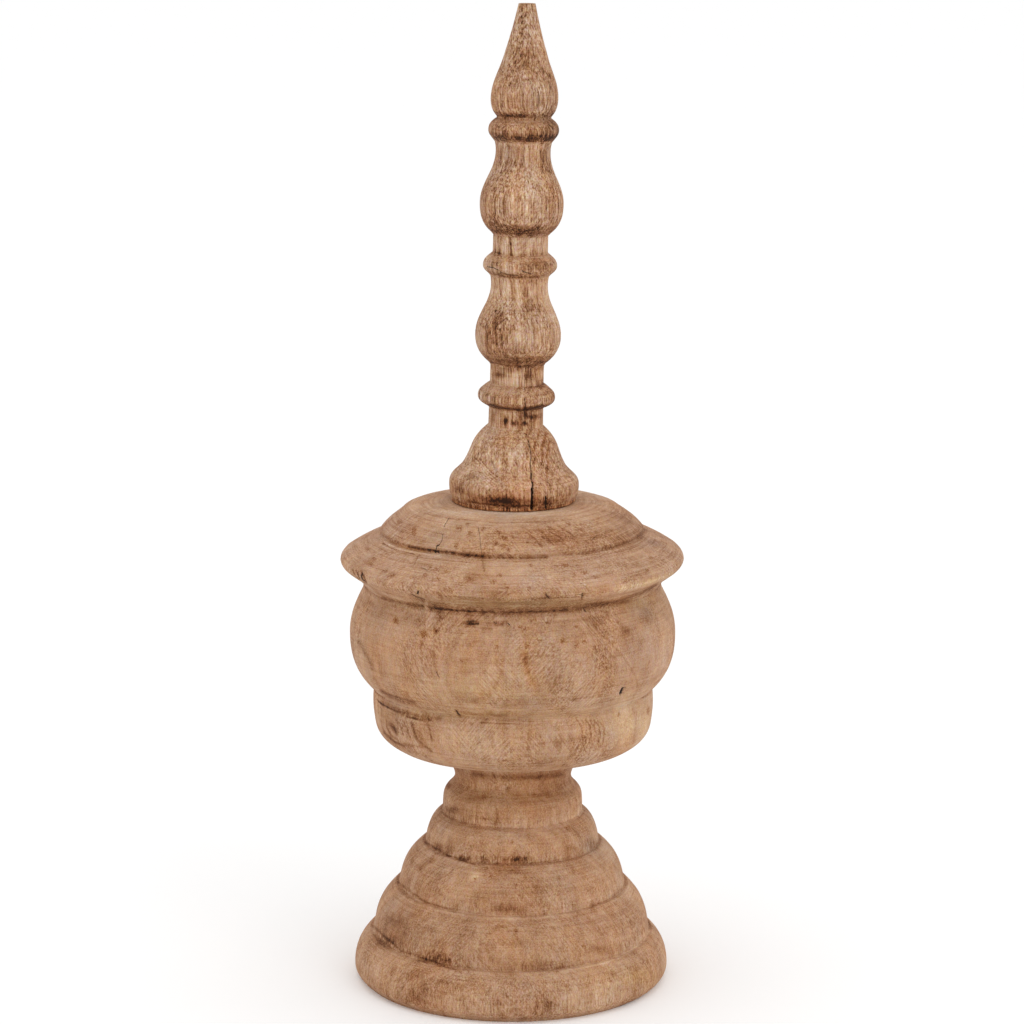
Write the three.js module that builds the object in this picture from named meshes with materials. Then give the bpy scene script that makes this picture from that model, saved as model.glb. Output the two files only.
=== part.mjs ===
// Turned wooden finial on a stepped round foot.
//
// Three pieces of dry, unfinished hardwood, each turned on a lathe and stood
// on the one below: the foot (neck, bead and four rounded steps), the body
// (raised tier, brim, full bulb and drum) and the spire (bell foot, collars,
// rings, two pear-shaped bulbs and a pointed tip sawn off flat).
//
// Millimetres, +Z up. The origin is the centre of the flat underside and the
// front of the finial faces -Y.

import * as THREE from 'three';

// ---------------------------------------------------------------- overall
const HEIGHT = 600.5;          // underside of the foot to the sawn tip
const FOOT_TOP = 149.6;        // top of the neck, under the body
const BODY_BASE = 150.0;       // underside of the body
const DECK = 301.0;            // seat of the spire on the body
const SEAT_GAP = 0.35;         // joint line left open under a seat
const ROUND_WIDE = 36;         // facets round the foot and the body
const ROUND_SLIM = 24;         // facets round the spire

// Each piece stands a little out of true. LEAN is the tilt in degrees of a
// ring of the profile, positive when its +X side is lower, and SHIFT is how
// far the axis lies towards +X, both at the heights given.
const FOOT_LEAN = [[0, 0], [FOOT_TOP, 0]];
const FOOT_SHIFT = [[0, 0], [FOOT_TOP, 1.1]];
const BODY_LEAN = [[BODY_BASE, 0], [190, -0.2], [265, -0.35], [280, -0.55], [291, -0.4], [298, 0], [DECK, 0]];
const BODY_SHIFT = [[BODY_BASE, 1.1], [DECK, -0.35]];
const SPIRE_LEAN = [[DECK, 0], [DECK + SEAT_GAP, 0], [312, 1.3], [330, 2.0], [346, 1.4], [366, 2.1], [390, 1.2],
  [415, 2.1], [445, 1.1], [475, 1.7], [500, 2.0], [526, 1.2], [545, 0.7], [HEIGHT, 0.7]];
const SPIRE_SHIFT = [[DECK, 0.7], [HEIGHT, 7.7]];

// ---------------------------------------------------------------- mouldings
// A profile runs from the axis at the top, down the outside and back to the
// axis. Every row below is one moulding: the point [radius, height] that it
// ends at and, where it is curved, the angles it leaves and arrives at and
// the number of facets. Angles are degrees from straight down, positive
// outwards, so 0 is a belly or a waist and 90 is a level shoulder.

const QUIRK = 0.9;             // depth of the groove cut at the foot of a step

// One rounded step of the foot: shoulder, quarter round, wall and quirk.
const STEPS = [
  { shoulder: [44.2, 106.2], leave: 55, edge: [52.8, 92.0], arrive: 15, foot: [53.5, 87.0], facets: 4 },
  { shoulder: [55.4, 86.4], leave: 50, edge: [69.0, 65.0], arrive: 12, foot: [70.0, 60.0], facets: 4 },
  { shoulder: [71.6, 59.4], leave: 46, edge: [84.4, 38.0], arrive: 10, foot: [85.7, 30.4], facets: 5 },
];

const FOOT = {
  neckTop: 38.9,
  neck: { to: [37.9, 136.0], angles: [-2, -9], facets: 2 },
  waist: { to: [35.8, 128.5], angles: [-16, 0], facets: 2 },
  beadShoulder: { to: [40.2, 121.4], angles: [2, 45], facets: 2 },
  bead: { to: [43.0, 113.0], angles: [43, 2], facets: 3 },
  beadWall: { to: [43.2, 107.0] },
  lowShoulder: [87.2, 29.9],
  lowRound: { to: [97.1, 7.6], angles: [46, 0], facets: 6 },
  lowEdge: { to: [93.8, 0.0], angles: [3, -62], facets: 3 },
};

const BODY = {
  seat: 37.6,
  deck: { to: [62.6, 297.6], angles: [88, 74], facets: 2 },
  arris: { to: [65.8, 296.2] },
  tier: { to: [79.9, 284.0], angles: [49, 38], facets: 3 },
  tierQuirk: { to: [79.6, 281.6] },
  brimShoulder: { to: [82.6, 280.5] },
  brimTop: { to: [102.3, 269.9], angles: [66, 56], facets: 4 },
  brimEdge: { to: [104.75, 265.5], angles: [48, 2], facets: 3 },
  brimUnder: { to: [98.6, 258.9], angles: [-10, -52], facets: 3 },
  brimFoot: { to: [91.2, 252.2], angles: [-58, -40], facets: 1 },
  brimQuirk: { to: [90.4, 250.4] },
  bulbTop: { to: [91.3, 246.5] },
  bulbUpper: { to: [99.65, 219.0], angles: [27, 0], facets: 4 },
  bulbLower: { to: [87.2, 187.6], angles: [0, -47], facets: 5 },
  bulbQuirk: { to: [84.9, 185.6] },
  drumShoulder: { to: [85.7, 183.6] },
  drum: { to: [84.6, 162.8], angles: [5, -10], facets: 3 },
  drumUnder: { to: [74.0, 150.6], angles: [-13, -62], facets: 3 },
};

const SPIRE = {
  tipCut: 5.2,
  tipUpper: { to: [12.9, 570.5], angles: [13, 17], facets: 2 },
  tipBelly: { to: [20.15, 544.0], angles: [15, 0], facets: 4 },
  tipUnder: { to: [16.4, 534.0], angles: [-2, -42], facets: 3 },
  tipQuirk: { to: [16.3, 532.9] },
  ring3Top: { to: [21.1, 526.0], angles: [58, 0], facets: 3 },
  ring3Under: { to: [17.0, 518.6], angles: [0, -32], facets: 2 },
  neckA: { to: [16.35, 513.0], angles: [-12, 0], facets: 1 },
  bulbAOgee: { to: [25.15, 482.0], angles: [0, 0], facets: 6 },
  bulbAUnder: { to: [18.6, 464.6], angles: [0, -44], facets: 4 },
  collar2Top: { to: [16.5, 462.4] },
  collar2Foot: { to: [16.6, 452.6] },
  ring2Top: { to: [22.3, 444.8], angles: [50, 0], facets: 3 },
  ring2Under: { to: [17.6, 437.4], angles: [2, -30], facets: 2 },
  neckB: { to: [17.1, 432.4], angles: [-11, 0], facets: 1 },
  bulbBOgee: { to: [25.85, 402.6], angles: [2, 0], facets: 6 },
  bulbBUnder: { to: [17.6, 385.2], angles: [0, -48], facets: 4 },
  collar1Top: { to: [16.25, 383.2] },
  collar1Foot: { to: [16.2, 373.6] },
  ring1Top: { to: [21.4, 369.6] },
  ring1Edge: { to: [23.4, 365.2], angles: [50, 0], facets: 2 },
  ring1Under: { to: [17.4, 357.8], angles: [0, -62], facets: 3 },
  collar0Top: { to: [16.5, 357.0] },
  collar0Foot: { to: [16.6, 347.8] },
  bellTop: { to: [26.2, 335.0], angles: [47, 21], facets: 3 },
  bellSide: { to: [31.0, 324.0], angles: [21, 30], facets: 2 },
  bellLip: { to: [39.5, 312.0], angles: [32, 0], facets: 4 },
  bellUnder: { to: [38.9, 306.0], angles: [0, -8], facets: 1 },
  bellFoot: { to: [37.7, DECK + SEAT_GAP], angles: [-14, -16], facets: 1 },
};

// ---------------------------------------------------------------- helpers
const REACH = 0.38;            // handle length of a curved moulding, of its chord

const heading = (degrees) => {
  const a = THREE.MathUtils.degToRad(degrees);
  return new THREE.Vector2(Math.sin(a), -Math.cos(a));
};

// Adds one moulding to the end of a profile.
function run(profile, { to, angles, facets = 1 }) {
  const from = profile[profile.length - 1];
  const end = new THREE.Vector2(...to);
  if (!angles) {
    profile.push(end);
    return;
  }
  const handle = from.distanceTo(end) * REACH;
  const curve = new THREE.CubicBezierCurve(
    from,
    from.clone().addScaledVector(heading(angles[0]), handle),
    end.clone().addScaledVector(heading(angles[1]), -handle),
    end,
  );
  profile.push(...curve.getPoints(facets).slice(1));
}

// Value at a height of a table of [height, value] rows, eased between rows.
function at(table, height) {
  if (height <= table[0][0]) return table[0][1];
  for (let i = 1; i < table.length; i += 1) {
    const [h1, v1] = table[i];
    const [h0, v0] = table[i - 1];
    if (height <= h1) {
      const t = (height - h0) / (h1 - h0);
      return v0 + (v1 - v0) * (table.length > 2 ? t * t * (3 - 2 * t) : t);
    }
  }
  return table[table.length - 1][1];
}

// Turns a profile about the axis, then leans its rings and shifts its axis.
function turn(profile, facets, lean, shift) {
  const geometry = new THREE.LatheGeometry([...profile].reverse(), facets);
  geometry.rotateX(Math.PI / 2);
  const position = geometry.attributes.position;
  for (let i = 0; i < position.count; i += 1) {
    const x = position.getX(i);
    const z = position.getZ(i);
    const tilt = THREE.MathUtils.degToRad(at(lean, z));
    position.setX(i, at(shift, z) + x * Math.cos(tilt));
    position.setZ(i, z - x * Math.sin(tilt));
  }
  geometry.computeVertexNormals();
  return geometry;
}

// ---------------------------------------------------------------- profiles
function footProfile() {
  const p = [new THREE.Vector2(0, FOOT_TOP), new THREE.Vector2(FOOT.neckTop, FOOT_TOP)];
  for (const key of ['neck', 'waist', 'beadShoulder', 'bead', 'beadWall']) run(p, FOOT[key]);
  // a quirk below each wall, then the shoulder of the next step
  const quirk = ([r, z]) => run(p, { to: [r - QUIRK, z - 1.0] });
  quirk(FOOT.beadWall.to);
  for (const step of STEPS) {
    run(p, { to: step.shoulder });
    run(p, { to: step.edge, angles: [step.leave, step.arrive], facets: step.facets });
    run(p, { to: step.foot });
    quirk(step.foot);
  }
  run(p, { to: FOOT.lowShoulder });
  run(p, FOOT.lowRound);
  run(p, FOOT.lowEdge);
  p.push(new THREE.Vector2(0, 0));
  return p;
}

function bodyProfile() {
  const p = [new THREE.Vector2(0, DECK), new THREE.Vector2(BODY.seat, DECK)];
  for (const key of ['deck', 'arris', 'tier', 'tierQuirk', 'brimShoulder', 'brimTop',
    'brimEdge', 'brimUnder', 'brimFoot', 'brimQuirk', 'bulbTop', 'bulbUpper', 'bulbLower',
    'bulbQuirk', 'drumShoulder', 'drum', 'drumUnder']) run(p, BODY[key]);
  p.push(new THREE.Vector2(BODY.drumUnder.to[0] - 1.2, BODY_BASE), new THREE.Vector2(0, BODY_BASE));
  return p;
}

function spireProfile() {
  const p = [new THREE.Vector2(0, HEIGHT), new THREE.Vector2(SPIRE.tipCut, HEIGHT)];
  for (const [key, moulding] of Object.entries(SPIRE)) if (key !== 'tipCut') run(p, moulding);
  p.push(new THREE.Vector2(0, DECK + SEAT_GAP));
  return p;
}

// ---------------------------------------------------------------- object
const wood = (color) => new THREE.MeshStandardMaterial({ color, roughness: 0.78, metalness: 0 });

function piece(name, geometry, color) {
  const mesh = new THREE.Mesh(geometry, wood(color));
  mesh.name = name;
  return mesh;
}

const finial = new THREE.Group();
finial.name = 'wooden_finial';
finial.add(
  piece('foot', turn(footProfile(), ROUND_WIDE, FOOT_LEAN, FOOT_SHIFT), 0xb28764),
  piece('body', turn(bodyProfile(), ROUND_WIDE, BODY_LEAN, BODY_SHIFT), 0xae8360),
  piece('spire', turn(spireProfile(), ROUND_SLIM, SPIRE_LEAN, SPIRE_SHIFT), 0xa37551),
);

export default finial;
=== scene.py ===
import math

import bpy
import numpy as np
from mathutils import Matrix


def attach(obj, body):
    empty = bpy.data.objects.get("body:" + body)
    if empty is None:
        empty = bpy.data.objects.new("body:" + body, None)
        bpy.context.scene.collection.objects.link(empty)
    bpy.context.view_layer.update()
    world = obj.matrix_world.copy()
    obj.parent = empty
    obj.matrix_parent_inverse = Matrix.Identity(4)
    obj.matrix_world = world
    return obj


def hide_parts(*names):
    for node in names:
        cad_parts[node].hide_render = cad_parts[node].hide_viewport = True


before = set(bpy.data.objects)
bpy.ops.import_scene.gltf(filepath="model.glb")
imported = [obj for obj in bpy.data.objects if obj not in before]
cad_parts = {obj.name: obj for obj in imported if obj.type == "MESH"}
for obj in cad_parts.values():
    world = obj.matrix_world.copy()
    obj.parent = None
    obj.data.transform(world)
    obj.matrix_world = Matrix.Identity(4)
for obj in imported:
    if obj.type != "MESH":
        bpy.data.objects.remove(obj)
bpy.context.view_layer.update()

# Turned wooden finial: foot, body and spire, each a finely turned mesh with
# its cracks, chips, torn grain and nail hole cut into the surface, in dry
# unfinished hardwood. Sizes here are millimetres until the mesh is written.

# ------------------------------------------------------------------ camera
# The camera's place in the frame, in millimetres, and its angles.
CAM_X, CAM_BACK, CAM_UP = -0.12, 2135.0, 735.4
CAM_DOWN, CAM_ROLL = 11.7, 0.2
FOCAL = 3582.8                     # focal length in pixels of a 1024 frame
MID = 512.0
NUDGE_X, NUDGE_Y = 0.15, 0.3      # pixels from this projection to the renderer's


def seen_at(p):
    """Where points (n, 3) in millimetres show in the frame, in pixels."""
    d, r = math.radians(CAM_DOWN), math.radians(CAM_ROLL)
    x, y, z = p[:, 0] - CAM_X, p[:, 1] + CAM_BACK, CAM_UP - p[:, 2]
    deep = y * math.cos(d) + z * math.sin(d)
    a = FOCAL * x / deep
    b = FOCAL * (z * math.cos(d) - y * math.sin(d)) / deep
    return (MID + a * math.cos(r) - b * math.sin(r),
            MID + b * math.cos(r) + a * math.sin(r))


# ---------------------------------------------------------------- profiles
# Each moulding: name, end point (radius, height), and for a curved one the
# angles it leaves and arrives at, in degrees from straight down.
HEIGHT, FOOT_TOP, BODY_BASE, DECK, SEAT_GAP = 600.5, 149.6, 150.0, 301.0, 0.35

FOOT = [
    ("top", (38.9, FOOT_TOP)),
    ("neck", (37.9, 136.0), -2, -9), ("neck", (35.8, 128.5), -16, 0),
    ("bead", (40.2, 121.4), 2, 45), ("bead", (43.0, 113.0), 43, 2),
    ("bead_wall", (43.2, 107.5)), ("groove1", (43.2, 106.6)), ("groove1", (44.6, 105.7), 15, 60),
    ("tier2", (52.8, 92.0), 56, 15), ("tier2_wall", (53.5, 87.8)),
    ("groove2", (53.5, 86.8)), ("groove2", (55.6, 86.0), 15, 60),
    ("tier3", (69.0, 65.0), 51, 12), ("tier3_wall", (69.95, 60.8)),
    ("groove3", (69.9, 59.8)), ("groove3", (72.2, 59.0), 15, 60),
    ("tier4", (84.4, 38.0), 46, 10), ("tier4_wall", (85.55, 31.2)),
    ("groove4", (85.5, 30.2)), ("groove4", (87.8, 29.4), 15, 60),
    ("tier5", (97.05, 8.2), 47, 0), ("tier5_edge", (91.75, 0.0), 0, -56),
    ("under", (0.0, 0.0)),
]
BODY = [
    ("seat", (37.6, DECK)),
    ("deck", (62.6, 297.6), 88, 74), ("arris", (65.8, 296.2), 70, 55),
    ("tier", (79.9, 284.0), 49, 38), ("tier_groove", (79.5, 282.0), 0, -8),
    ("tier_groove", (82.6, 280.5), 70, 66),
    ("brim", (102.3, 269.9), 66, 56), ("brim_edge", (104.7, 265.5), 48, 2),
    ("brim_under", (98.6, 258.9), -10, -52), ("brim_under", (91.2, 252.2), -58, -40),
    ("brim_groove", (90.3, 250.4)), ("brim_groove", (91.3, 246.5), 30, 14),
    ("bulb", (99.6, 219.0), 27, 0), ("bulb", (87.2, 187.6), 0, -47),
    ("drum_groove", (85.0, 185.8), -60, -30), ("drum_groove", (85.7, 183.6), 40, 10),
    ("drum", (84.6, 162.8), 5, -10), ("drum_low", (74.0, 150.6), -13, -62),
    ("under", (72.8, BODY_BASE)), ("under", (0.0, BODY_BASE)),
]
SPIRE = [
    ("cut", (5.0, HEIGHT)),
    ("tip", (12.9, 570.5), 13, 17), ("tip", (20.1, 544.0), 15, 0),
    ("tip_under", (16.4, 534.1), -2, -42), ("tip_groove", (16.2, 533.0)),
    ("ring3", (21.1, 526.0), 58, 0), ("ring3_low", (17.0, 518.6), 0, -32),
    ("neckA", (16.35, 513.0), -12, 0), ("bulbA", (25.15, 482.0), 0, 0),
    ("bulbA_low", (18.4, 465.1), 0, -50), ("collar2_top", (16.5, 463.1)),
    ("collar2", (16.6, 452.6)),
    ("ring2", (22.3, 444.8), 50, 0), ("ring2_low", (17.6, 438.2), 2, -30),
    ("neckB", (17.1, 432.4), -11, 0), ("bulbB", (25.85, 402.6), 2, 0),
    ("bulbB_low", (17.3, 386.1), 0, -52), ("collar1_top", (16.25, 384.4)),
    ("collar1", (16.2, 373.6)),
    ("ring1", (21.4, 369.6), 62, 50), ("ring1", (23.4, 365.2), 50, 0),
    ("ring1_low", (17.2, 359.0), 0, -58), ("collar0_top", (16.5, 358.1)),
    ("collar0", (16.6, 347.8)),
    ("bell", (26.2, 335.0), 47, 21), ("bell", (31.0, 324.0), 21, 30),
    ("bell", (39.45, 312.0), 32, 0), ("bell_low", (39.0, 306.4), 0, -8),
    ("bell_foot", (37.7, 303.2), -16, -24), ("bell_rim", (37.9, 302.3), 20, 4),
    ("bell_rim", (37.5, DECK + SEAT_GAP), -10, -30), ("under", (0.0, DECK + SEAT_GAP)),
]

# Lean of the rings in degrees and drift of the axis, by height.
LEAN = {
    "foot": [(0, 0), (FOOT_TOP, 0)],
    "body": [(BODY_BASE, 0), (190, -0.2), (265, -0.35), (280, -0.55), (291, -0.4), (298, 0), (DECK, 0)],
    "spire": [(DECK, 0), (DECK + SEAT_GAP, 0), (312, 1.3), (330, 2.0), (346, 1.4), (366, 2.1),
              (390, 1.2), (415, 2.1), (445, 1.1), (475, 1.7), (500, 2.0), (526, 1.2), (545, 0.7), (HEIGHT, 0.7)],
}
DRIFT = {
    "foot": [(0, 0), (FOOT_TOP, 1.1)],
    "body": [(BODY_BASE, 1.1), (DECK, -0.35)],
    "spire": [(DECK, 0.7), (HEIGHT, 7.7)],
}
REACH = 0.38


def eased(table, h):
    """Value of a (height, value) table at heights h, eased between its rows."""
    hs, vs = np.array([t[0] for t in table], float), np.array([t[1] for t in table], float)
    i = np.clip(np.searchsorted(hs, h, side="left"), 1, len(hs) - 1)
    t = np.clip((h - hs[i - 1]) / (hs[i] - hs[i - 1]), 0, 1)
    if len(table) > 2:
        t = t * t * (3 - 2 * t)
    return vs[i - 1] + (vs[i] - vs[i - 1]) * t


def moulding(start, row, steps):
    """Points of one moulding after its start point."""
    end = np.array(row[1], float)
    t = np.linspace(0, 1, steps + 1)[1:, None]
    if len(row) == 2:
        return start + (end - start) * t
    hand = np.linalg.norm(end - start) * REACH
    a, b = math.radians(row[2]), math.radians(row[3])
    p1 = start + hand * np.array([math.sin(a), -math.cos(a)])
    p2 = end - hand * np.array([math.sin(b), -math.cos(b)])
    return (1 - t) ** 3 * start + 3 * (1 - t) ** 2 * t * p1 + 3 * (1 - t) * t * t * p2 + t ** 3 * end


def profile_rows(top, rows, gap, hidden, hidden_gap):
    """Rows of a piece: radius, height, moulding name, with rows about gap apart."""
    pts, names = [np.array([0.0, top])], ["axis"]
    for row in rows:
        fine = np.vstack([pts[-1], moulding(pts[-1], row, 60)])
        length = np.linalg.norm(np.diff(fine, axis=0), axis=1)
        total = length.sum()
        n = max(2, round(total / (hidden_gap if row[0] in hidden else 0.42 if "groove" in row[0] else gap)))
        at = np.interp(np.linspace(0, total, n + 1)[1:], np.concatenate([[0], np.cumsum(length)]), np.arange(len(fine)))
        for q in at:
            k = min(int(q), len(fine) - 2)
            pts.append(fine[k] + (fine[k + 1] - fine[k]) * (q - k))
            names.append(row[0])
    return np.array(pts), names


# ------------------------------------------------------------------- noise
def lattice(ix, iy, iz, seed):
    h = (ix * 374761393 + iy * 668265263 + iz * 1274126177 + seed * 2246822519) & 0xFFFFFFFF
    h = ((h ^ (h >> 13)) * 1274126177) & 0xFFFFFFFF
    h = ((h ^ (h >> 16)) * 2654435761) & 0xFFFFFFFF
    return ((h ^ (h >> 15)) & 0xFFFFFF) / float(0xFFFFFF) * 2 - 1


def noise(x, y, z, seed):
    """Smooth value noise between -1 and 1 on a unit lattice."""
    xi, yi, zi = np.floor(x).astype(np.int64), np.floor(y).astype(np.int64), np.floor(z).astype(np.int64)
    fx, fy, fz = x - xi, y - yi, z - zi
    fx, fy, fz = fx * fx * (3 - 2 * fx), fy * fy * (3 - 2 * fy), fz * fz * (3 - 2 * fz)
    out = 0
    for dx in (0, 1):
        for dy in (0, 1):
            for dz in (0, 1):
                w = (fx if dx else 1 - fx) * (fy if dy else 1 - fy) * (fz if dz else 1 - fz)
                out = out + w * lattice(xi + dx, yi + dy, zi + dz, seed)
    return out


def layered(x, y, z, seed, octaves=3):
    out, size, total = 0, 1.0, 0
    for k in range(octaves):
        out = out + size * noise(x * 2 ** k, y * 2 ** k, z * 2 ** k, seed + 31 * k)
        total += size
        size *= 0.5
    return out / total


def step(lo, hi, x):
    t = np.clip((x - lo) / (hi - lo), 0, 1)
    return t * t * (3 - 2 * t)


# ------------------------------------------------------------ turned piece
class Turned:
    """A turned piece as a grid of rings, with marks painted where they show in the frame."""

    def __init__(self, name, top, rows, gap, hidden, hidden_gap, columns, front_share, fine_at=()):
        self.name = name
        self.rows, self.names = profile_rows(top, rows, gap, hidden, hidden_gap)
        rz = self.rows
        tangent = np.gradient(rz, axis=0)
        tangent /= np.linalg.norm(tangent, axis=1)[:, None] + 1e-12
        self.normal_rz = np.column_stack([-tangent[:, 1], tangent[:, 0]])
        # columns of the grid are closer together at the front and at narrow marks
        grid = np.linspace(-math.pi, math.pi, 20001)
        d = (grid + math.pi / 2 + math.pi) % (2 * math.pi) - math.pi
        density = (1 - front_share) + (2 * front_share - 1) * step(1.75, 1.45, np.abs(d))
        for angle, narrow, strength in fine_at:
            e = (grid - angle + math.pi) % (2 * math.pi) - math.pi
            density = density + strength * np.exp(-(e / narrow) ** 2)
        total = np.concatenate([[0], np.cumsum((density[1:] + density[:-1]) / 2)])
        self.theta = np.interp((np.arange(columns) + 0.5) / columns * total[-1], total, grid)
        inner = rz[1:-1]
        self.r = np.repeat(inner[:, 0], columns)
        self.z = np.repeat(inner[:, 1], columns)
        self.t = np.tile(self.theta, len(inner))
        self.nr = np.repeat(self.normal_rz[1:-1, 0], columns)
        self.nz = np.repeat(self.normal_rz[1:-1, 1], columns)
        self.kind = np.repeat(np.array(self.names[1:-1]), columns)
        self.columns, self.rings = columns, len(inner)
        self.move = np.zeros(len(self.r))
        p = self.placed(np.zeros(len(self.r)))
        self.p0 = p
        self.u, self.w = seen_at(p)
        view = p - np.array([CAM_X, -CAM_BACK, CAM_UP])
        view /= np.linalg.norm(view, axis=1)[:, None]
        facing = -(self.nr * np.cos(self.t) * view[:, 0] + self.nr * np.sin(self.t) * view[:, 1] + self.nz * view[:, 2])
        self.front = step(-0.12, 0.05, facing) * (np.sin(self.t) < 0.5)
        # leave out what a nearer moulding hides: nearest depth in cells of 2 pixels
        self.depth = np.linalg.norm(p - np.array([CAM_X, -CAM_BACK, CAM_UP]), axis=1)
        cu, cw = np.clip((self.u / 2).astype(int) + 1, 1, 512), np.clip((self.w / 2).astype(int) + 1, 1, 512)
        nearest = np.full((514, 514), 1e9)
        np.minimum.at(nearest, (cw[self.front > 0.5], cu[self.front > 0.5]), self.depth[self.front > 0.5])
        around = np.min([nearest[cw + i, cu + j] for i in (-1, 0, 1) for j in (-1, 0, 1)], axis=0)
        self.front *= self.depth < around + 8 + 14 * np.clip(1 - facing, 0, 1)
        self.arc = self.t * self.r                       # distance round the ring
        n = len(self.r)
        self.marks = {k: np.zeros(n) for k in ("fox", "stain", "dirt_and_shade", "torn", "pit", "pale", "shade")}
        self.marks["fox"] -= 2.0
        self.tint = np.ones((n, 3))
        self.scores, self.eyes = [], []

    def placed(self, move):
        r, z = self.r + self.nr * move, self.z + self.nz * move
        x, y = r * np.cos(self.t), r * np.sin(self.t)
        tilt = np.radians(eased(LEAN[self.name], self.z))
        return np.column_stack([eased(DRIFT[self.name], self.z) + x * np.cos(tilt), y, z - x * np.sin(tilt)])

    def of(self, *kinds):
        return np.isin(self.kind, kinds)

    # -- shapes drawn in the frame's pixels, only where the surface faces it
    def line(self, points, width, ends=None):
        """1 on a line, falling to 0 at 1.6 half widths. width may be a pair, first to last."""
        pts = np.array(points, float)
        w0, w1 = width if isinstance(width, tuple) else (width, width)
        best = np.full(len(self.u), 1e9)
        for k in range(len(pts) - 1):
            a, b = pts[k], pts[k + 1]
            v = b - a
            t = np.clip(((self.u - a[0]) * v[0] + (self.w - a[1]) * v[1]) / (v @ v + 1e-9), 0, 1)
            wide = w0 + (w1 - w0) * (k + t) / (len(pts) - 1)
            d = np.hypot(self.u - a[0] - t * v[0], self.w - a[1] - t * v[1]) / (wide / 2)
            best = np.minimum(best, d)
        return np.clip(1 - best / 1.6, 0, 1) * self.front

    def spot(self, u, w, a, b=None, turn=0.0):
        """A spot with half sizes a, b, kept as the distance in mm inside its edge."""
        b = a if b is None else b
        c, s = math.cos(math.radians(turn)), math.sin(math.radians(turn))
        du, dw = self.u - u, self.w - w
        d = np.hypot((du * c + dw * s) / a, (-du * s + dw * c) / b)
        inside = np.where(self.front > 0.3, (1 - d) * math.sqrt(a * b) * 0.6, -2.0)
        self.marks["fox"] = np.maximum(self.marks["fox"], np.clip(inside, -2, 2))

    def on_surface(self, u, w):
        """Point of the surface, in metres, that shows at a pixel, and the normal there."""
        d = (self.u - u) ** 2 + (self.w - w) ** 2 + 1e6 * (self.front < 0.5)
        close = d < max(2.0, d.min() * 1.5)
        d = np.where(close & (self.depth < self.depth[close].min() + 6), d, 1e6)
        near = np.argpartition(d, 3)[:3]
        share = 1 / (d[near] + 0.02)
        at = (self.p0[near] * share[:, None]).sum(0) / share.sum()
        k = near[int(np.argmin(d[near]))]
        n = np.array([self.nr[k] * math.cos(self.t[k]), self.nr[k] * math.sin(self.t[k]), self.nz[k]])
        return at / 1000, n

    def score(self, points, width, deep, strength=1.0):
        """A crack or nick, cut into the mesh and passed on to the material."""
        self.move -= np.clip(self.line(points, max(width, 2.0)) * 1.6, 0, 1) * deep
        found = [self.on_surface(*q) for q in points]
        normal = sum(n for _, n in found)
        self.scores.append(([q for q, _ in found], normal / np.linalg.norm(normal), width * 0.298e-3, strength))

    def figure(self, u, w, reach, gap, stretch, strength):
        """Growth lines round a point of the surface."""
        at, normal = self.on_surface(u, w)
        self.eyes.append((at, normal, reach, gap, stretch, strength))

    def soft(self, u, w, a, b=None, turn=0.0):
        """A soft patch, 1 in the middle and fading out at about twice its half sizes."""
        b = a if b is None else b
        c, s = math.cos(math.radians(turn)), math.sin(math.radians(turn))
        du, dw = self.u - u, self.w - w
        return np.exp(-((du * c + dw * s) / a) ** 2 - ((-du * s + dw * c) / b) ** 2) * self.front

    def lift(self, value, amount):
        """Makes the wood paler, or darker when amount is below 0: the wood's own tone, and in places painted light and
        painted shade.
        """
        self.marks["shade"] += value * amount

    def band(self, low, high, fade=1.2):
        """1 between two heights, all round the piece."""
        return step(low - fade, low + fade, self.z) * step(high + fade, high - fade, self.z)

    def add(self, mark, value, amount=1.0):
        self.marks[mark] = np.maximum(self.marks[mark], value * amount)

    def wash(self, value, colour):
        """Tints the wood by colour where value is 1."""
        self.tint *= 1 + value[:, None] * (np.array(colour) - 1)

    def angle_at(self, u, w):
        """The angle round the piece of what shows at a pixel."""
        d = (self.u - u) ** 2 + (self.w - w) ** 2 + 1e6 * (self.front < 0.5)
        return self.t[int(np.argmin(d))]

    def mesh(self, base_slot, material):
        p = self.placed(self.move)
        p[:, 2] = np.maximum(p[:, 2], self.rows[-1][1])
        c, n = self.columns, self.rings
        first, last = self.rows[0], self.rows[-1]
        ends = []
        for q in (first, last):
            ends.append([eased(DRIFT[self.name], np.array([q[1]]))[0], 0.0, q[1]])
        verts = np.vstack([p, ends]) / 1000.0
        i = np.arange(n - 1)[:, None] * c
        j = np.arange(c)[None, :]
        k = (j + 1) % c
        quads = np.stack([i + j, i + c + j, i + c + k, i + k], axis=-1).reshape(-1, 4)
        j, k = np.arange(c), (np.arange(c) + 1) % c
        cap_top = np.column_stack([np.full(c, n * c), j, k])
        low = (n - 1) * c
        cap_low = np.column_stack([np.full(c, n * c + 1), low + k, low + j])
        me = bpy.data.meshes.new(self.name + "_wood")
        nv, nq, nt = len(verts), len(quads), 2 * c
        me.vertices.add(nv)
        me.vertices.foreach_set("co", verts.astype(np.float32).ravel())
        loops = np.concatenate([quads.ravel(), cap_top.ravel(), cap_low.ravel()])
        me.loops.add(len(loops))
        me.loops.foreach_set("vertex_index", loops.astype(np.int32))
        starts = np.concatenate([np.arange(nq) * 4, nq * 4 + np.arange(nt) * 3])
        totals = np.concatenate([np.full(nq, 4), np.full(nt, 3)])
        me.polygons.add(nq + nt)
        me.polygons.foreach_set("loop_start", starts.astype(np.int32))
        me.polygons.foreach_set("loop_total", totals.astype(np.int32))
        me.polygons.foreach_set("use_smooth", np.ones(nq + nt, bool))
        me.update(calc_edges=True)
        me.validate()
        m = self.marks

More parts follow.
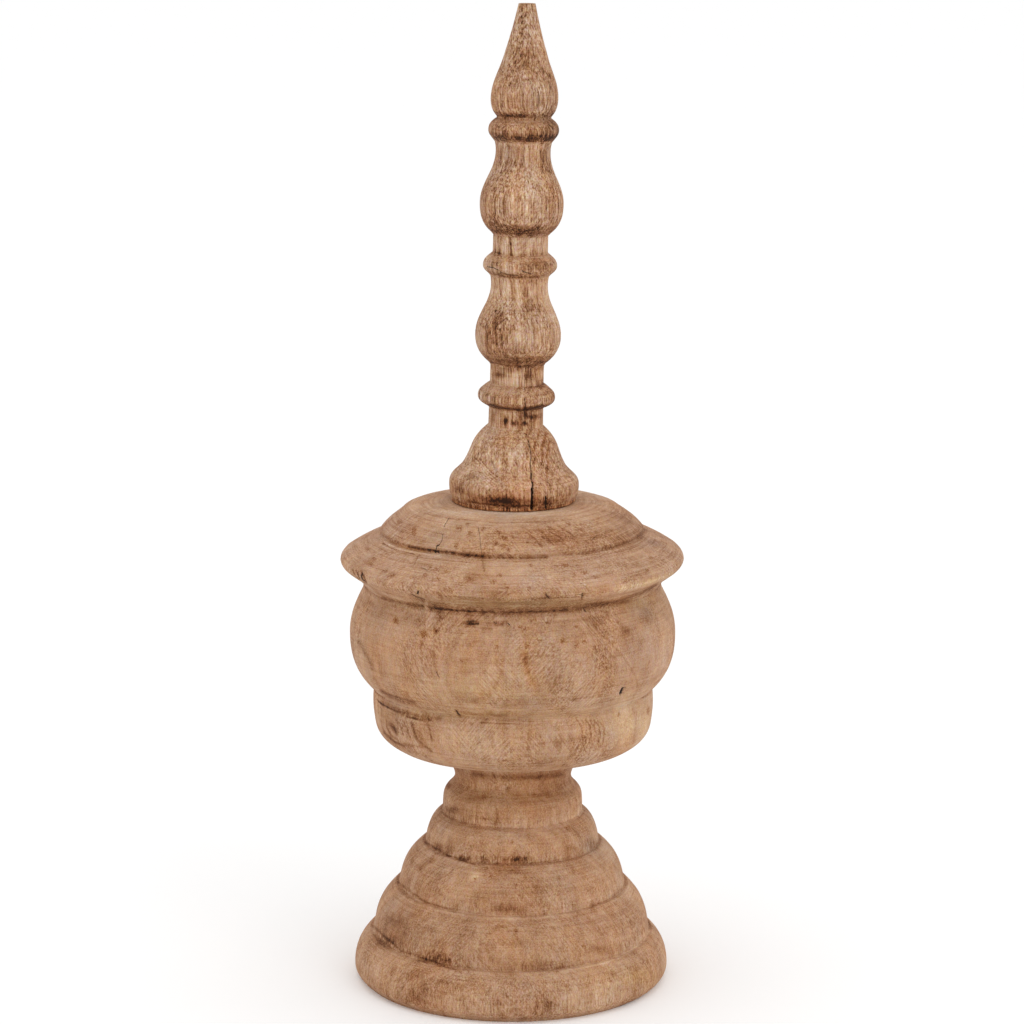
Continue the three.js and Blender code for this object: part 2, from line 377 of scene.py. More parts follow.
        def paint(name, channels, fill):
            data = np.ones((nv, 4), np.float32)
            for idx, ch in enumerate(channels):
                data[:, idx] = np.concatenate([ch, [fill, fill]])
            me.color_attributes.new(name, "FLOAT_COLOR", "POINT").data.foreach_set("color", data.ravel())
        paint("marks", [m["fox"], m["stain"], m["pale"]], 0.0)
        # the dirt channel holds real dirt and the painted shade under the brim
        paint("wear_and_shade", [m["dirt_and_shade"], m["torn"], m["pit"]], 0.0)
        run = np.concatenate([[0], np.cumsum(np.linalg.norm(np.diff(self.rows, axis=0), axis=1))])[1:-1] / 1000
        paint("turned", [np.repeat(run, self.columns), np.abs(self.nz), m["shade"]], 0.0)
        paint("tint", [self.tint[:, 0], self.tint[:, 1], self.tint[:, 2]], 1.0)
        ob = bpy.data.objects.new(self.name + "_wood", me)
        bpy.context.scene.collection.objects.link(ob)
        me.materials.append(material)
        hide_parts(self.name)
        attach(ob, "root")
        return ob


# ---------------------------------------------------------------- material
class Nodes:
    """Short names for building a material's nodes."""

    def __init__(self, name):
        self.mat = bpy.data.materials.new(name)
        self.mat.use_nodes = True
        self.tree = self.mat.node_tree
        self.tree.nodes.clear()

    def new(self, kind, **props):
        n = self.tree.nodes.new(kind)
        for k, v in props.items():
            setattr(n, k, v)
        return n

    def plug(self, value, socket):
        if isinstance(value, bpy.types.NodeSocket):
            self.tree.links.new(value, socket)
        elif value is not None:
            if isinstance(value, (tuple, list)) and len(value) == 3 and socket.type == "RGBA":
                value = (*value, 1.0)
            socket.default_value = value

    def math(self, op, a, b=None, c=None, clamp=False):
        n = self.new("ShaderNodeMath", operation=op, use_clamp=clamp)
        for v, s in zip((a, b, c), n.inputs):
            self.plug(v, s)
        return n.outputs[0]

    def vec(self, op, a, b=None, scale=None):
        n = self.new("ShaderNodeVectorMath", operation=op)
        self.plug(a, n.inputs[0])
        if b is not None:
            self.plug(b, n.inputs[1])
        if scale is not None:
            self.plug(scale, n.inputs["Scale"])
        return n.outputs["Value"] if op in ("DOT_PRODUCT", "LENGTH", "DISTANCE") else n.outputs[0]

    def mix(self, factor, a, b, blend="MIX"):
        n = self.new("ShaderNodeMix", data_type="RGBA", blend_type=blend)
        n.clamp_factor = True
        self.plug(factor, n.inputs[0])
        self.plug(a, n.inputs[6])
        self.plug(b, n.inputs[7])
        return n.outputs[2]

    def ramp(self, value, lo, hi, out_lo=0.0, out_hi=1.0, smooth=True):
        n = self.new("ShaderNodeMapRange", interpolation_type="SMOOTHSTEP" if smooth else "LINEAR")
        self.plug(value, n.inputs[0])
        for v, s in zip((lo, hi, out_lo, out_hi), n.inputs[1:5]):
            self.plug(v, s)
        return n.outputs[0]

    def noise(self, vector, scale=1.0, detail=2.0, rough=0.5, warp=0.0, dims="3D", w=None):
        n = self.new("ShaderNodeTexNoise", noise_dimensions=dims)
        if vector is not None:
            self.plug(vector, n.inputs["Vector"])
        if w is not None:
            self.plug(w, n.inputs["W"])
        n.inputs["Scale"].default_value = scale
        n.inputs["Detail"].default_value = detail
        n.inputs["Roughness"].default_value = rough
        n.inputs["Distortion"].default_value = warp
        return n.outputs[0]

    def stretched(self, vector, sx, sy, sz, turn=(0, 0, 0), shift=(0, 0, 0)):
        n = self.new("ShaderNodeMapping", vector_type="POINT")
        self.plug(vector, n.inputs["Vector"])
        n.inputs["Location"].default_value = shift
        n.inputs["Rotation"].default_value = [math.radians(a) for a in turn]
        n.inputs["Scale"].default_value = (sx, sy, sz)
        return n.outputs[0]

    def attribute(self, name):
        n = self.new("ShaderNodeAttribute", attribute_name=name, attribute_type="GEOMETRY")
        s = self.new("ShaderNodeSeparateColor")
        self.tree.links.new(n.outputs["Color"], s.inputs[0])
        return n.outputs["Color"], s.outputs[0], s.outputs[1], s.outputs[2]


# Colours of the wood from its darkest marks to its palest fibres.
TONES = [(0.00, (0.028, 0.010, 0.004)), (0.14, (0.106, 0.037, 0.013)), (0.28, (0.222, 0.090, 0.037)),
         (0.40, (0.333, 0.164, 0.079)), (0.50, (0.425, 0.238, 0.134)), (0.62, (0.512, 0.314, 0.194)),
         (0.78, (0.612, 0.424, 0.290)), (1.00, (0.745, 0.590, 0.455))]


def wood(piece, name, seed, tone, fibres, pores, pore_length, turning, patches, pith, ring_gap, rings, lean, specks, warm, rub, hues, long=1.0):
    """Dry unfinished hardwood with upright grain.

    tone: its mean place on TONES. fibres, pores, turning, patches, rings:
    strength of the upright fibres, open pores, tool marks round the piece,
    uneven patches and growth lines. pore_length and ring_gap in metres. pith:
    where the heart of the tree runs. specks: share of small rust specks.
    rub: strength of the sanding scratches. hues: how far the colour wanders.
    """
    m = Nodes(name)
    where = m.new("ShaderNodeTexCoord").outputs["Object"]
    shift = (seed * 0.37, seed * 0.53, seed * 0.71)
    _, fox, stain, pale = m.attribute("marks")
    _, dirt_and_shade, torn, pit = m.attribute("wear_and_shade")
    _, run, slope, shade = m.attribute("turned")
    tint, _, _, _ = m.attribute("tint")

    def lay(t, value, weight):
        """Adds (value - 0.5) * weight to the tone t; weight may be a socket."""
        if isinstance(weight, bpy.types.NodeSocket):
            return m.math("MULTIPLY_ADD", m.math("SUBTRACT", value, 0.5), weight, t)
        return m.math("MULTIPLY_ADD", value, weight, m.math("SUBTRACT", t, 0.5 * weight))

    def less(t, value, weight):
        return m.math("SUBTRACT", t, m.math("MULTIPLY", value, weight))

    # the grain runs upwards, a little off plumb, and wanders
    plumb = m.stretched(where, 1, 1, 1, turn=lean, shift=shift)
    wander = m.new("ShaderNodeTexNoise", noise_dimensions="3D")
    m.plug(plumb, wander.inputs["Vector"])
    wander.inputs["Scale"].default_value = 9.0
    wander.inputs["Detail"].default_value = 1.5
    bent = m.vec("ADD", plumb, m.vec("SCALE", m.vec("SUBTRACT", wander.outputs["Color"], (0.5, 0.5, 0.5)), scale=0.012))

    # uneven patches, large to small
    broad = m.noise(m.stretched(bent, 16, 16, 9), 1.0, 2.0, 0.5)
    middle = m.noise(m.stretched(bent, 55, 55, 30, shift=(3, 1, 7)), 1.0, 2.0, 0.55)
    small = m.noise(m.stretched(bent, 170, 170, 95, shift=(1, 6, 2)), 1.0, 2.0, 0.6)
    t = lay(m.math("ADD", shade, tone), broad, 0.22 * patches)
    t = lay(t, middle, 0.30 * patches)
    t = lay(t, small, 0.26 * patches)

    # growth lines round the heart of the tree, clearer in some places
    flat = m.vec("MULTIPLY", m.vec("SUBTRACT", bent, (pith[0] + shift[0], pith[1] + shift[1], 0.0)), (1, 1, 0))
    away = m.vec("LENGTH", flat)
    ring = m.noise(None, 1.0 / ring_gap, 3.0, 0.6, dims="1D", w=away)
    clear = m.ramp(m.noise(m.stretched(bent, 24, 24, 12, shift=(9, 4, 2)), 1.0, 1.0, 0.5), 0.40, 0.62, 0.15, 1.0)
    t = lay(t, ring, m.math("MULTIPLY", clear, 0.42 * rings))

    # fibres: upright streaks of three widths
    fine = m.noise(m.stretched(bent, 1500, 1500, 110 / long), 1.0, 2.0, 0.6)
    medium = m.noise(m.stretched(bent, 760, 760, 42 / long, shift=(4, 4, 0)), 1.0, 2.0, 0.6)
    coarse = m.noise(m.stretched(bent, 300, 300, 15, shift=(6, 2, 1)), 1.0, 2.0, 0.55)
    steep = m.math("MULTIPLY", m.ramp(slope, 0.25, 0.85, fibres, 0.5 * fibres), m.ramp(torn, 0.0, 0.7, 0.85, 1.5))
    steep = m.math("MULTIPLY", steep, m.ramp(dirt_and_shade, 0.15, 0.75, 1.0, 0.12))
    t = lay(t, fine, m.math("MULTIPLY", steep, 0.66))
    t = lay(t, medium, m.math("MULTIPLY", steep, 0.42))
    t = lay(t, coarse, m.math("MULTIPLY", steep, 0.22))

    # tool marks and rubbed-in dirt run round the piece, most on its slopes
    around = m.new("ShaderNodeCombineXYZ")
    apart = m.new("ShaderNodeSeparateXYZ")
    m.plug(bent, apart.inputs[0])
    m.plug(run, around.inputs[0])
    m.plug(apart.outputs[0], around.inputs[1])
    m.plug(apart.outputs[1], around.inputs[2])
    mark_a = m.noise(m.stretched(around.outputs[0], 1150, 42, 42), 1.0, 2.0, 0.6)
    mark_b = m.noise(m.stretched(around.outputs[0], 330, 20, 20, shift=(5, 5, 5)), 1.0, 2.0, 0.55)
    slope_w = m.ramp(slope, 0.15, 0.75, 0.50 * turning, 1.0 * turning)
    t = lay(t, mark_a, m.math("MULTIPLY", slope_w, 0.42))
    t = lay(t, mark_b, m.math("MULTIPLY", slope_w, 0.28))

    # short slanting sanding scratches, in patches
    rub_a = m.noise(m.stretched(m.stretched(bent, 1, 1, 1, turn=(8, 38, 0)), 1050, 1050, 120), 1.0, 1.5, 0.5)
    rub_b = m.noise(m.stretched(m.stretched(bent, 1, 1, 1, turn=(-6, -46, 0)), 1050, 1050, 120, shift=(8, 0, 3)), 1.0, 1.5, 0.5)
    where_a = m.ramp(m.noise(m.stretched(bent, 32, 32, 24, shift=(7, 3, 1)), 1.0, 1.0, 0.5), 0.44, 0.58)
    where_b = m.ramp(m.noise(m.stretched(bent, 30, 30, 24, shift=(1, 9, 4)), 1.0, 1.0, 0.5), 0.45, 0.60)
    t = lay(t, rub_a, m.math("MULTIPLY", where_a, rub))
    t = lay(t, rub_b, m.math("MULTIPLY", where_b, rub))

    # grain of single cells
    speckle = m.noise(where, 1500.0, 2.0, 0.6)
    t = lay(t, speckle, 0.50)

    # open pores: short dark upright lines, thicker in some places
    thick = m.ramp(m.noise(m.stretched(bent, 48, 48, 18, shift=(2, 8, 5)), 1.0, 2.0, 0.5), 0.38, 0.64, -0.055, 0.045)
    pore_a = m.noise(m.stretched(bent, 1700, 1700, 1.5 / pore_length), 1.0, 1.0, 0.4)
    pore_b = m.noise(m.stretched(bent, 950, 950, 0.9 / pore_length, shift=(5, 5, 5)), 1.0, 1.0, 0.4)
    pore = m.math("MAXIMUM", m.ramp(m.math("ADD", pore_a, thick), 0.62, 0.70), m.ramp(m.math("ADD", pore_b, thick), 0.65, 0.72))
    t = less(t, pore, 0.22 * pores)

    # growth lines that circle a knot or a swell
    def flattened(normal, lowest):
        high = m.vec("DOT_PRODUCT", where, tuple(normal))
        return m.vec("SUBTRACT", where, m.vec("SCALE", tuple(normal), scale=high)), m.math("GREATER_THAN", high, lowest)

    for at, normal, reach, gap, stretch, strength in piece.eyes:
        level, shown = flattened(normal, float(at @ normal) - 0.02)
        centre = at - normal * (at @ normal)
        far = m.vec("LENGTH", m.vec("MULTIPLY", m.vec("SUBTRACT", level, tuple(centre)), (1.0, 1.0, stretch)))
        far = m.math("MULTIPLY_ADD", middle, 0.008, far)
        circle = m.noise(None, 1.0 / gap, 1.5, 0.5, dims="1D", w=far)
        mask = m.math("MULTIPLY", m.ramp(far, reach + 0.004, reach * 0.45 + 0.004), shown)
        t = lay(t, circle, m.math("MULTIPLY", mask, m.math("MULTIPLY_ADD", fine, 2.4 * strength, -0.5 * strength)))

    # torn grain: ragged upright flecks
    rag = m.noise(m.stretched(bent, 1250, 1250, 210), 1.0, 2.0, 0.6)
    t = lay(t, rag, m.math("MULTIPLY", torn, 1.05))
    t = less(t, torn, 0.02)
    t = less(t, pit, 0.12)

    # stains, and dirt with painted shade in grooves and under the brim, broken up by the grain
    blotch = m.noise(m.stretched(bent, 300, 300, 150, shift=(2, 2, 8)), 1.0, 3.0, 0.62)
    broken = m.math("MULTIPLY_ADD", m.math("MULTIPLY_ADD", m.math("SUBTRACT", medium, 0.5), 0.7, blotch), 2.6, -0.3)
    t = less(t, m.math("MULTIPLY", stain, m.math("MAXIMUM", broken, 0.15)), 0.50)
    smear = m.math("MULTIPLY_ADD", m.noise(where, 420.0, 2.0, 0.6), 1.9, 0.05)
    t = less(t, m.math("MULTIPLY", dirt_and_shade, m.math("MAXIMUM", smear, 0.25)), 0.42)
    t = m.math("MULTIPLY_ADD", m.math("MULTIPLY", pale, m.math("MAXIMUM", m.math("SUBTRACT", 1.6, broken), 0.2)), 0.16, t)

    ramp = m.new("ShaderNodeValToRGB")
    bar = ramp.color_ramp.elements
    while len(bar) < len(TONES):
        bar.new(0.5)
    for e, (place, colour) in zip(bar, TONES):
        e.position = place
        e.color = (*colour, 1.0)
    m.plug(t, ramp.inputs[0])
    colour = ramp.outputs[0]

    # the hue drifts between a redder and a greyer brown
    drift = m.noise(m.stretched(bent, 26, 26, 14, shift=(4, 7, 7)), 1.0, 3.0, 0.6)
    colour = m.mix(m.ramp(drift, 0.48, 0.68, 0.0, warm), colour, m.mix(1.0, colour, (1.06, 0.97, 0.89), "MULTIPLY"))
    colour = m.mix(m.ramp(drift, 0.50, 0.34, 0.0, 0.7), colour, m.mix(1.0, colour, (0.97, 0.99, 1.00), "MULTIPLY"))
    colour = m.mix(1.0, colour, tint, "MULTIPLY")

    # the wood wanders between orange and grey, in patches, streaks and fibres
    warmth = m.noise(m.stretched(bent, 50, 50, 32, shift=(2, 5, 1)), 1.0, 4.0, 0.66)
    streak = m.noise(m.stretched(bent, 620, 620, 60 / long, shift=(3, 3, 6)), 1.0, 2.0, 0.6)
    gain = m.vec("MULTIPLY", m.math("ADD", warmth, m.math("MULTIPLY", streak, 0.7)), (0.125 * hues, -0.040 * hues, -0.320 * hues))
    gain = m.vec("ADD", gain, (1.0 - 0.106 * hues, 1.0 + 0.034 * hues, 1.0 + 0.272 * hues))
    colour = m.mix(1.0, colour, gain, "MULTIPLY")
    tinge = m.new("ShaderNodeTexNoise", noise_dimensions="3D")
    m.plug(where, tinge.inputs["Vector"])
    tinge.inputs["Scale"].default_value = 640.0
    tinge.inputs["Detail"].default_value = 2.0
    tinge.inputs["Roughness"].default_value = 0.75
    gain = m.vec("MULTIPLY", tinge.outputs["Color"], (0.0, 0.34 * hues, 0.50 * hues))
    gain = m.vec("ADD", gain, (1.0, 1.0 - 0.17 * hues, 1.0 - 0.25 * hues))
    colour = m.mix(1.0, colour, gain, "MULTIPLY")

    # rust-brown specks: placed ones, and a scatter of small ones
    ragged = m.noise(where, 800.0, 2.0, 0.6)
    cells = m.new("ShaderNodeTexVoronoi", feature="F1")
    m.plug(where, cells.inputs["Vector"])
    cells.inputs["Scale"].default_value = 85.0
    cell = m.new("ShaderNodeSeparateColor")
    m.tree.links.new(cells.outputs["Color"], cell.inputs[0])
    size = m.math("MULTIPLY", m.ramp(cell.outputs[0], 1.0 - specks, 1.0, 0.0, 1.0, smooth=False), 0.20)
    speck = m.math("SUBTRACT", size, m.math("MULTIPLY_ADD", ragged, 0.16, m.math("SUBTRACT", cells.outputs["Distance"], 0.08)))
    speck = m.ramp(speck, 0.0, 0.10, 0.0, 0.5)
    fox_mask = m.ramp(m.math("MULTIPLY_ADD", ragged, 4.6, m.math("SUBTRACT", fox, 2.25)), -0.75, 0.75)
    fox_mask = m.math("MULTIPLY", fox_mask, m.ramp(speckle, 0.34, 0.62, 1.15, 0.45))
    colour = m.mix(m.math("MAXIMUM", fox_mask, speck), colour, m.mix(1.0, colour, (0.56, 0.355, 0.17), "MULTIPLY"))

    # cracks and nicks
    gap_mask = None
    for points, normal, half, strength in piece.scores:
        flat_points = [q - normal * (q @ normal) for q in points]
        level, shown = flattened(normal, min(float(q @ normal) for q in points) - 0.008)
        best = None
        for q0, q1 in zip(flat_points, flat_points[1:]):
            v = q1 - q0
            rel = m.vec("SUBTRACT", level, tuple(q0))
            along = m.math("ADD", m.vec("DOT_PRODUCT", rel, tuple(v / (v @ v))), 0.0, clamp=True)
            d = m.vec("LENGTH", m.vec("SUBTRACT", rel, m.vec("SCALE", tuple(v), scale=along)))
            best = d if best is None else m.math("MINIMUM", best, d)
        best = m.math("MULTIPLY_ADD", m.math("SUBTRACT", ragged, 0.5), half * 3.2, best)
        one = m.math("MULTIPLY", m.ramp(best, half * 1.35, half * 0.65, 0.0, strength), shown)
        gap_mask = one if gap_mask is None else m.math("MAXIMUM", gap_mask, one)
    if gap_mask is not None:
        colour = m.mix(gap_mask, colour, (0.020, 0.010, 0.006))

    # surface: dry and matt, with the grain standing a little proud
    shader = m.new("ShaderNodeBsdfPrincipled")
    m.plug(colour, shader.inputs["Base Color"])
    rough = m.math("MULTIPLY_ADD", torn, 0.08, m.ramp(medium, 0.3, 0.7, 0.88, 0.72, smooth=False), clamp=True)
    m.plug(rough, shader.inputs["Roughness"])
    shader.inputs["Specular IOR Level"].default_value = 0.2
    height = m.math("SUBTRACT", m.math("MULTIPLY", fine, 0.5), m.math("MULTIPLY", pore, 0.45))
    height = m.math("MULTIPLY_ADD", mark_a, 0.4, height)
    height = m.math("MULTIPLY_ADD", m.math("MULTIPLY", rag, torn), 1.4, height)
    height = m.math("MULTIPLY_ADD", speckle, 0.3, height)
    bump = m.new("ShaderNodeBump")
    bump.inputs["Strength"].default_value = 0.6
    bump.inputs["Distance"].default_value = 0.00025
    m.plug(height, bump.inputs["Height"])
    m.plug(bump.outputs[0], shader.inputs["Normal"])
    out = m.new("ShaderNodeOutputMaterial")
    m.tree.links.new(shader.outputs[0], out.inputs[0])
    return m.mat


# ------------------------------------------------------------ shared wear
def common_wear(p, seed, out_of_round, ripple):
    """Slight unevenness of a hand-turned piece."""
    x, y, z = p.p0.T
    slow = layered(x / 60, y / 60, z / 45, seed, 2) * out_of_round
    fine = layered(x / 9, y / 9, z / 12, seed + 5, 3) * ripple
    rings = noise(p.z / 1.7, 0 * p.z, 0 * p.z + 0.5, seed + 9) * 0.03
    p.move += slow + fine + rings
    hidden = p.of("seat", "under", "cut", "top")
    p.move[hidden] = 0
    p.move = np.where(p.r > 103, np.minimum(p.move, -0.05), p.move)


def dig(p, mask, deep):
    p.move -= mask * deep


def grooves(p, kinds, deep_dirt, seed, spread=1.2):
    """Dirt along turned grooves, uneven round the piece."""
    x, y, z = p.p0.T
    for kind, amount in kinds.items():
        rows = p.of(kind)
        if not rows.any():
            continue
        heights = np.unique(np.round(p.z[rows], 3))
        lowest = heights.min()
        near = np.exp(-((p.z - (lowest + heights.max()) / 2) / spread) ** 2)
        uneven = 0.62 + 0.5 * layered(p.t * 3.0 * p.r / 40, 0 * x, z / 30, seed, 2)
        p.add("dirt_and_shade", near * np.clip(uneven, 0.1, 1) * amount, deep_dirt)


def flecks(p, where, wide, tall, seed, cover, deep, tone=1.0):
    """Upright pits of torn grain: cover is the share of the area, where a 0 to 1 mask."""
    f = noise(p.arc / wide, 0 * p.arc + 0.3, p.z / tall, seed) * 0.6 + noise(p.arc / (wide * 0.55), 0 * p.arc + 0.7, p.z / (tall * 0.6), seed + 3) * 0.4
    cut = 0.75 - 0.95 * cover
    m = step(cut, cut + 0.22, f) * where
    p.add("pit", m, tone)
    dig(p, m, deep)


# ------------------------------------------------------------------- foot
def make_foot():
    p = Turned("foot", FOOT_TOP, FOOT, 1.0, ("top", "under"), 8.0, 452, 0.80)
    common_wear(p, 11, 0.22, 0.09)
    grooves(p, {"groove1": 0.26, "groove2": 0.48, "groove3": 0.42, "groove4": 0.36}, 0.8, 12, 0.75)
    # fine lines scored beside the grooves at the left
    for pts in ([(425, 842), (447, 855), (475, 864)], [(398, 882), (425, 902), (455, 911)], [(371, 924), (400, 950), (460, 971)]):
        v = p.line(pts, 2.0)
        p.add("dirt_and_shade", v, 0.5)
        dig(p, v, 0.3)
        p.add("pale", p.line([(q[0] - 1, q[1] + 3) for q in pts], 2.6), 0.7)
    p.add("pale", p.line([(600, 966), (628, 953), (648, 937)], 3.0), 0.8)
    # end grain shows at the lower part of each step
    for low, high, cover, seed in ((105.5, 112.5, 0.30, 21), (86.5, 93.0, 0.42, 22), (59.5, 67.5, 0.40, 23), (30.0, 40.0, 0.48, 24), (0.5, 12.0, 0.36, 25)):
        band = step(low - 0.3, low + 1.2, p.z) * step(high, (low + high) / 2, p.z) * (p.z < high) * (p.z > low - 1)
        uneven = np.clip(0.5 + 0.7 * layered(p.t * 2.2, 0 * p.t, p.z / 40, seed, 2), 0, 1)
        band = band * uneven
        p.add("torn", band, 0.9)
        flecks(p, band, 1.15, 5.5, seed, cover * 0.50, 0.24, 0.55)
    # neck: crumbly pale grain and a dark band
    p.add("torn", p.soft(500, 785, 30, 4), 1.0)
    p.add("pale", p.soft(490, 785, 26, 4), 1.0)
    p.lift(p.soft(490, 785, 22, 3.5), 0.06)
    p.add("dirt_and_shade", p.line([(474, 774), (500, 777), (540, 777), (562, 774)], 5), 0.42)
    p.add("dirt_and_shade", p.soft(538, 795, 24, 2.2, -3), 0.34)
    p.add("stain", p.soft(482, 797, 10, 3), 0.22)
    flecks(p, p.soft(500, 786, 34, 5), 1.0, 2.2, 31, 0.42, 0.35, 0.7)
    flecks(p, p.soft(473, 821, 12, 5), 0.9, 1.8, 32, 0.5, 0.35, 0.7)
    p.add("torn", p.soft(473, 821, 12, 5), 1.0)
    for u0, w0, a, b, amount in (
            (454, 810, 7, 4, 0.5), (449, 785, 4, 3, 0.35), (497, 816, 3, 8, 0.30), (438, 848, 5, 5, 0.42),
            (464, 858, 8, 3.5, 0.5), (484, 859, 4, 3.5, 0.45), (518, 859, 12, 4, 0.6), (591, 843, 8, 5, 0.45),
            (571, 848, 8, 4, 0.25), (455, 908, 6, 4, 0.2), (508, 909, 14, 4, 0.3), (396, 921, 10, 7, 0.3),
            (391, 942, 9, 6, 0.25), (440, 959, 16, 5, 0.42), (438, 958, 6, 4, 0.5), (540, 965, 40, 5, 0.28),
            (592, 905, 4, 4, 0.35), (600, 948, 12, 5, 0.28), (613, 974, 4, 3, 0.3), (549, 1004, 8, 8, 0.3),
            (414, 1000, 16, 9, 0.28), (372, 990, 8, 10, 0.15), (560, 888, 30, 7, 0.12), (466, 846, 22, 8, 0.12)):
        p.add("stain", p.soft(u0, w0, a, b), amount)
    for u0, w0, a, b, turn in ((475.5, 878, 1.8, 1.6, 0), (490.7, 877, 1.6, 1.4, 0), (536.2, 887, 1.3, 2.6, 15), (516, 886, 1.3, 1.8, 0),
                               (420, 869, 1.2, 1.2, 0), (588.4, 891, 1.4, 1.6, 0), (583.3, 946, 1.6, 1.4, 0), (609.4, 980, 1.8, 1.6, 0),
                               (512, 842, 1.6, 1.4, 0), (567, 828, 1.6, 2.2, 0), (545, 925, 1.2, 1.4, 0), (516, 930, 1.6, 1.6, 0)):
        p.spot(u0, w0, a, b, turn)
    p.add("pale", p.soft(475.5, 876, 6, 4), 1.0)
    p.add("pale", p.soft(446, 871, 4, 3), 0.8)
    p.add("pale", p.soft(590, 988, 22, 4, -12), 0.55)
    p.add("pale", p.soft(612, 897, 12, 2, -25), 0.6)
    # the torn strip under the fourth step at the front left
    flecks(p, p.soft(436, 960, 24, 7), 1.1, 4.0, 33, 0.62, 0.45, 0.9)
    flecks(p, p.soft(392, 942, 14, 9), 1.0, 3.5, 34, 0.5, 0.4, 0.8)
    flecks(p, p.soft(412, 998, 22, 12), 1.3, 9.0, 35, 0.40, 0.3, 0.55)
    flecks(p, p.soft(562, 1010, 34, 9), 1.5, 8.0, 36, 0.42, 0.3, 0.55)
    flecks(p, p.soft(519, 859, 14, 5), 1.0, 3.0, 37, 0.55, 0.4, 0.8)
    p.figure(500, 951, 0.030, 0.0050, 0.9, 0.5)
    p.figure(404, 1030, 0.034, 0.0046, 0.8, 0.6)
    p.lift(p.soft(520, 780, 60, 14), 0.02)
    p.lift(p.soft(540, 840, 60, 8), 0.03)
    # painted light: paler lines along the grooves at the top of each step, against the shade in the grooves
    for pts, wide, amount in (([(478, 823.5), (500, 826.5), (530, 827), (547, 826)], 5.0, 0.11), ([(547, 826), (562, 822.5), (575, 815), (580, 810)], 6.0, 0.13),
                              ([(447, 910), (480, 914.5), (512, 916), (550, 914)], 5.0, 0.12), ([(550, 914), (585, 907), (608, 896), (620, 880)], 4.5, 0.08),
                              ([(562, 971), (600, 963), (630, 950), (648, 932)], 5.0, 0.15)):
        p.lift(p.line(pts, wide), amount)
    # painted shade: the neck darker all round and at its front, under the overhang of the body
    p.lift(p.band(125, 149), -0.06)
    p.lift(p.soft(512, 784, 54, 8), -0.05)
    p.wash(p.soft(512, 786, 60, 18), (1.03, 0.985, 0.88))
    p.wash(p.soft(512, 812, 60, 14), (1.015, 0.99, 0.93))
    p.lift(p.soft(512, 797, 54, 5), -0.03)
    # painted shade: the left of the foot darker, on its side away from the light
    p.lift(p.soft(440, 848, 12, 9), -0.08)
    p.lift(p.soft(422, 886, 18, 14), -0.02)
    p.lift(p.soft(606, 885, 16, 14), -0.025)
    p.lift(p.soft(380, 980, 22, 10), 0.03)
    p.wash(p.soft(512, 990, 140, 14), (0.99, 1.0, 1.012))
    p.wash(p.soft(512, 796, 56, 5), (1.01, 1.01, 0.955))
    # painted shade at the left of the foot
    p.lift(p.soft(420, 886, 18, 12), -0.02)
    p.lift(p.soft(391, 938, 20, 12), -0.08)
    p.add("torn", p.band(2, 26, 3), 0.45)
    p.lift(p.soft(622, 934, 24, 14), -0.05)
    p.lift(p.soft(475, 876, 5.5, 4.5), 0.20)
    p.lift(p.soft(590, 900, 10, 4), 0.03)
    p.wash(p.soft(475, 876, 6, 5), (1.02, 1.03, 0.96))
    p.wash(p.soft(520, 846, 60, 10), (1.01, 0.99, 0.955))
    # painted light: the right of the foot paler, on its side toward the light
    p.lift(p.soft(588, 843, 16, 10), 0.115)
    p.lift(p.soft(610, 892, 24, 18), 0.07)
    p.lift(p.soft(637, 935, 18, 14), 0.05)
    p.lift(p.soft(512, 790, 56, 10), 0.05)
    p.lift(p.soft(505, 940, 90, 22), -0.05)
    # grid of scratches and a dark upright line on the bead
    for pts in ([(497, 808), (496.5, 824)], [(480, 818), (496, 819)], [(478, 823), (495, 824)], [(477, 806), (476, 822)]):
        p.add("stain", p.line(pts, 1.0), 0.35)
    # wear along the front of the lowest edge
    low_edge = np.exp(-((p.z - 1.0) / 3.5) ** 2) * (p.front > 0.2)
    dig(p, low_edge * step(0.1, 0.9, np.cos(p.t + math.radians(118))), 0.7)
    # painted light at the right of the foot
    p.lift(p.soft(600, 940, 34, 14), 0.06)
    p.lift(p.soft(600, 850, 14, 10), 0.06)
    p.lift(p.soft(520, 1000, 80, 10), 0.03)
    # painted shade at the left of the foot
    p.lift(p.soft(405, 925, 26, 26), -0.045)
    p.lift(p.soft(432, 880, 16, 18), -0.04)
    # broad tints
    p.wash(p.soft(590, 846, 14, 8), (0.86, 0.90, 0.96))
    p.wash(p.soft(635, 976, 22, 9), (1.06, 1.05, 0.86))
    p.wash(p.soft(485, 955, 40, 22), (0.94, 0.90, 0.86))
    p.wash(p.soft(600, 918, 40, 9), (0.95, 0.95, 0.98))
    p.wash(p.soft(395, 915, 18, 14), (0.90, 0.90, 0.94))
    p.wash(p.soft(512, 780, 70, 9), (0.90, 0.84, 0.78))
    return p


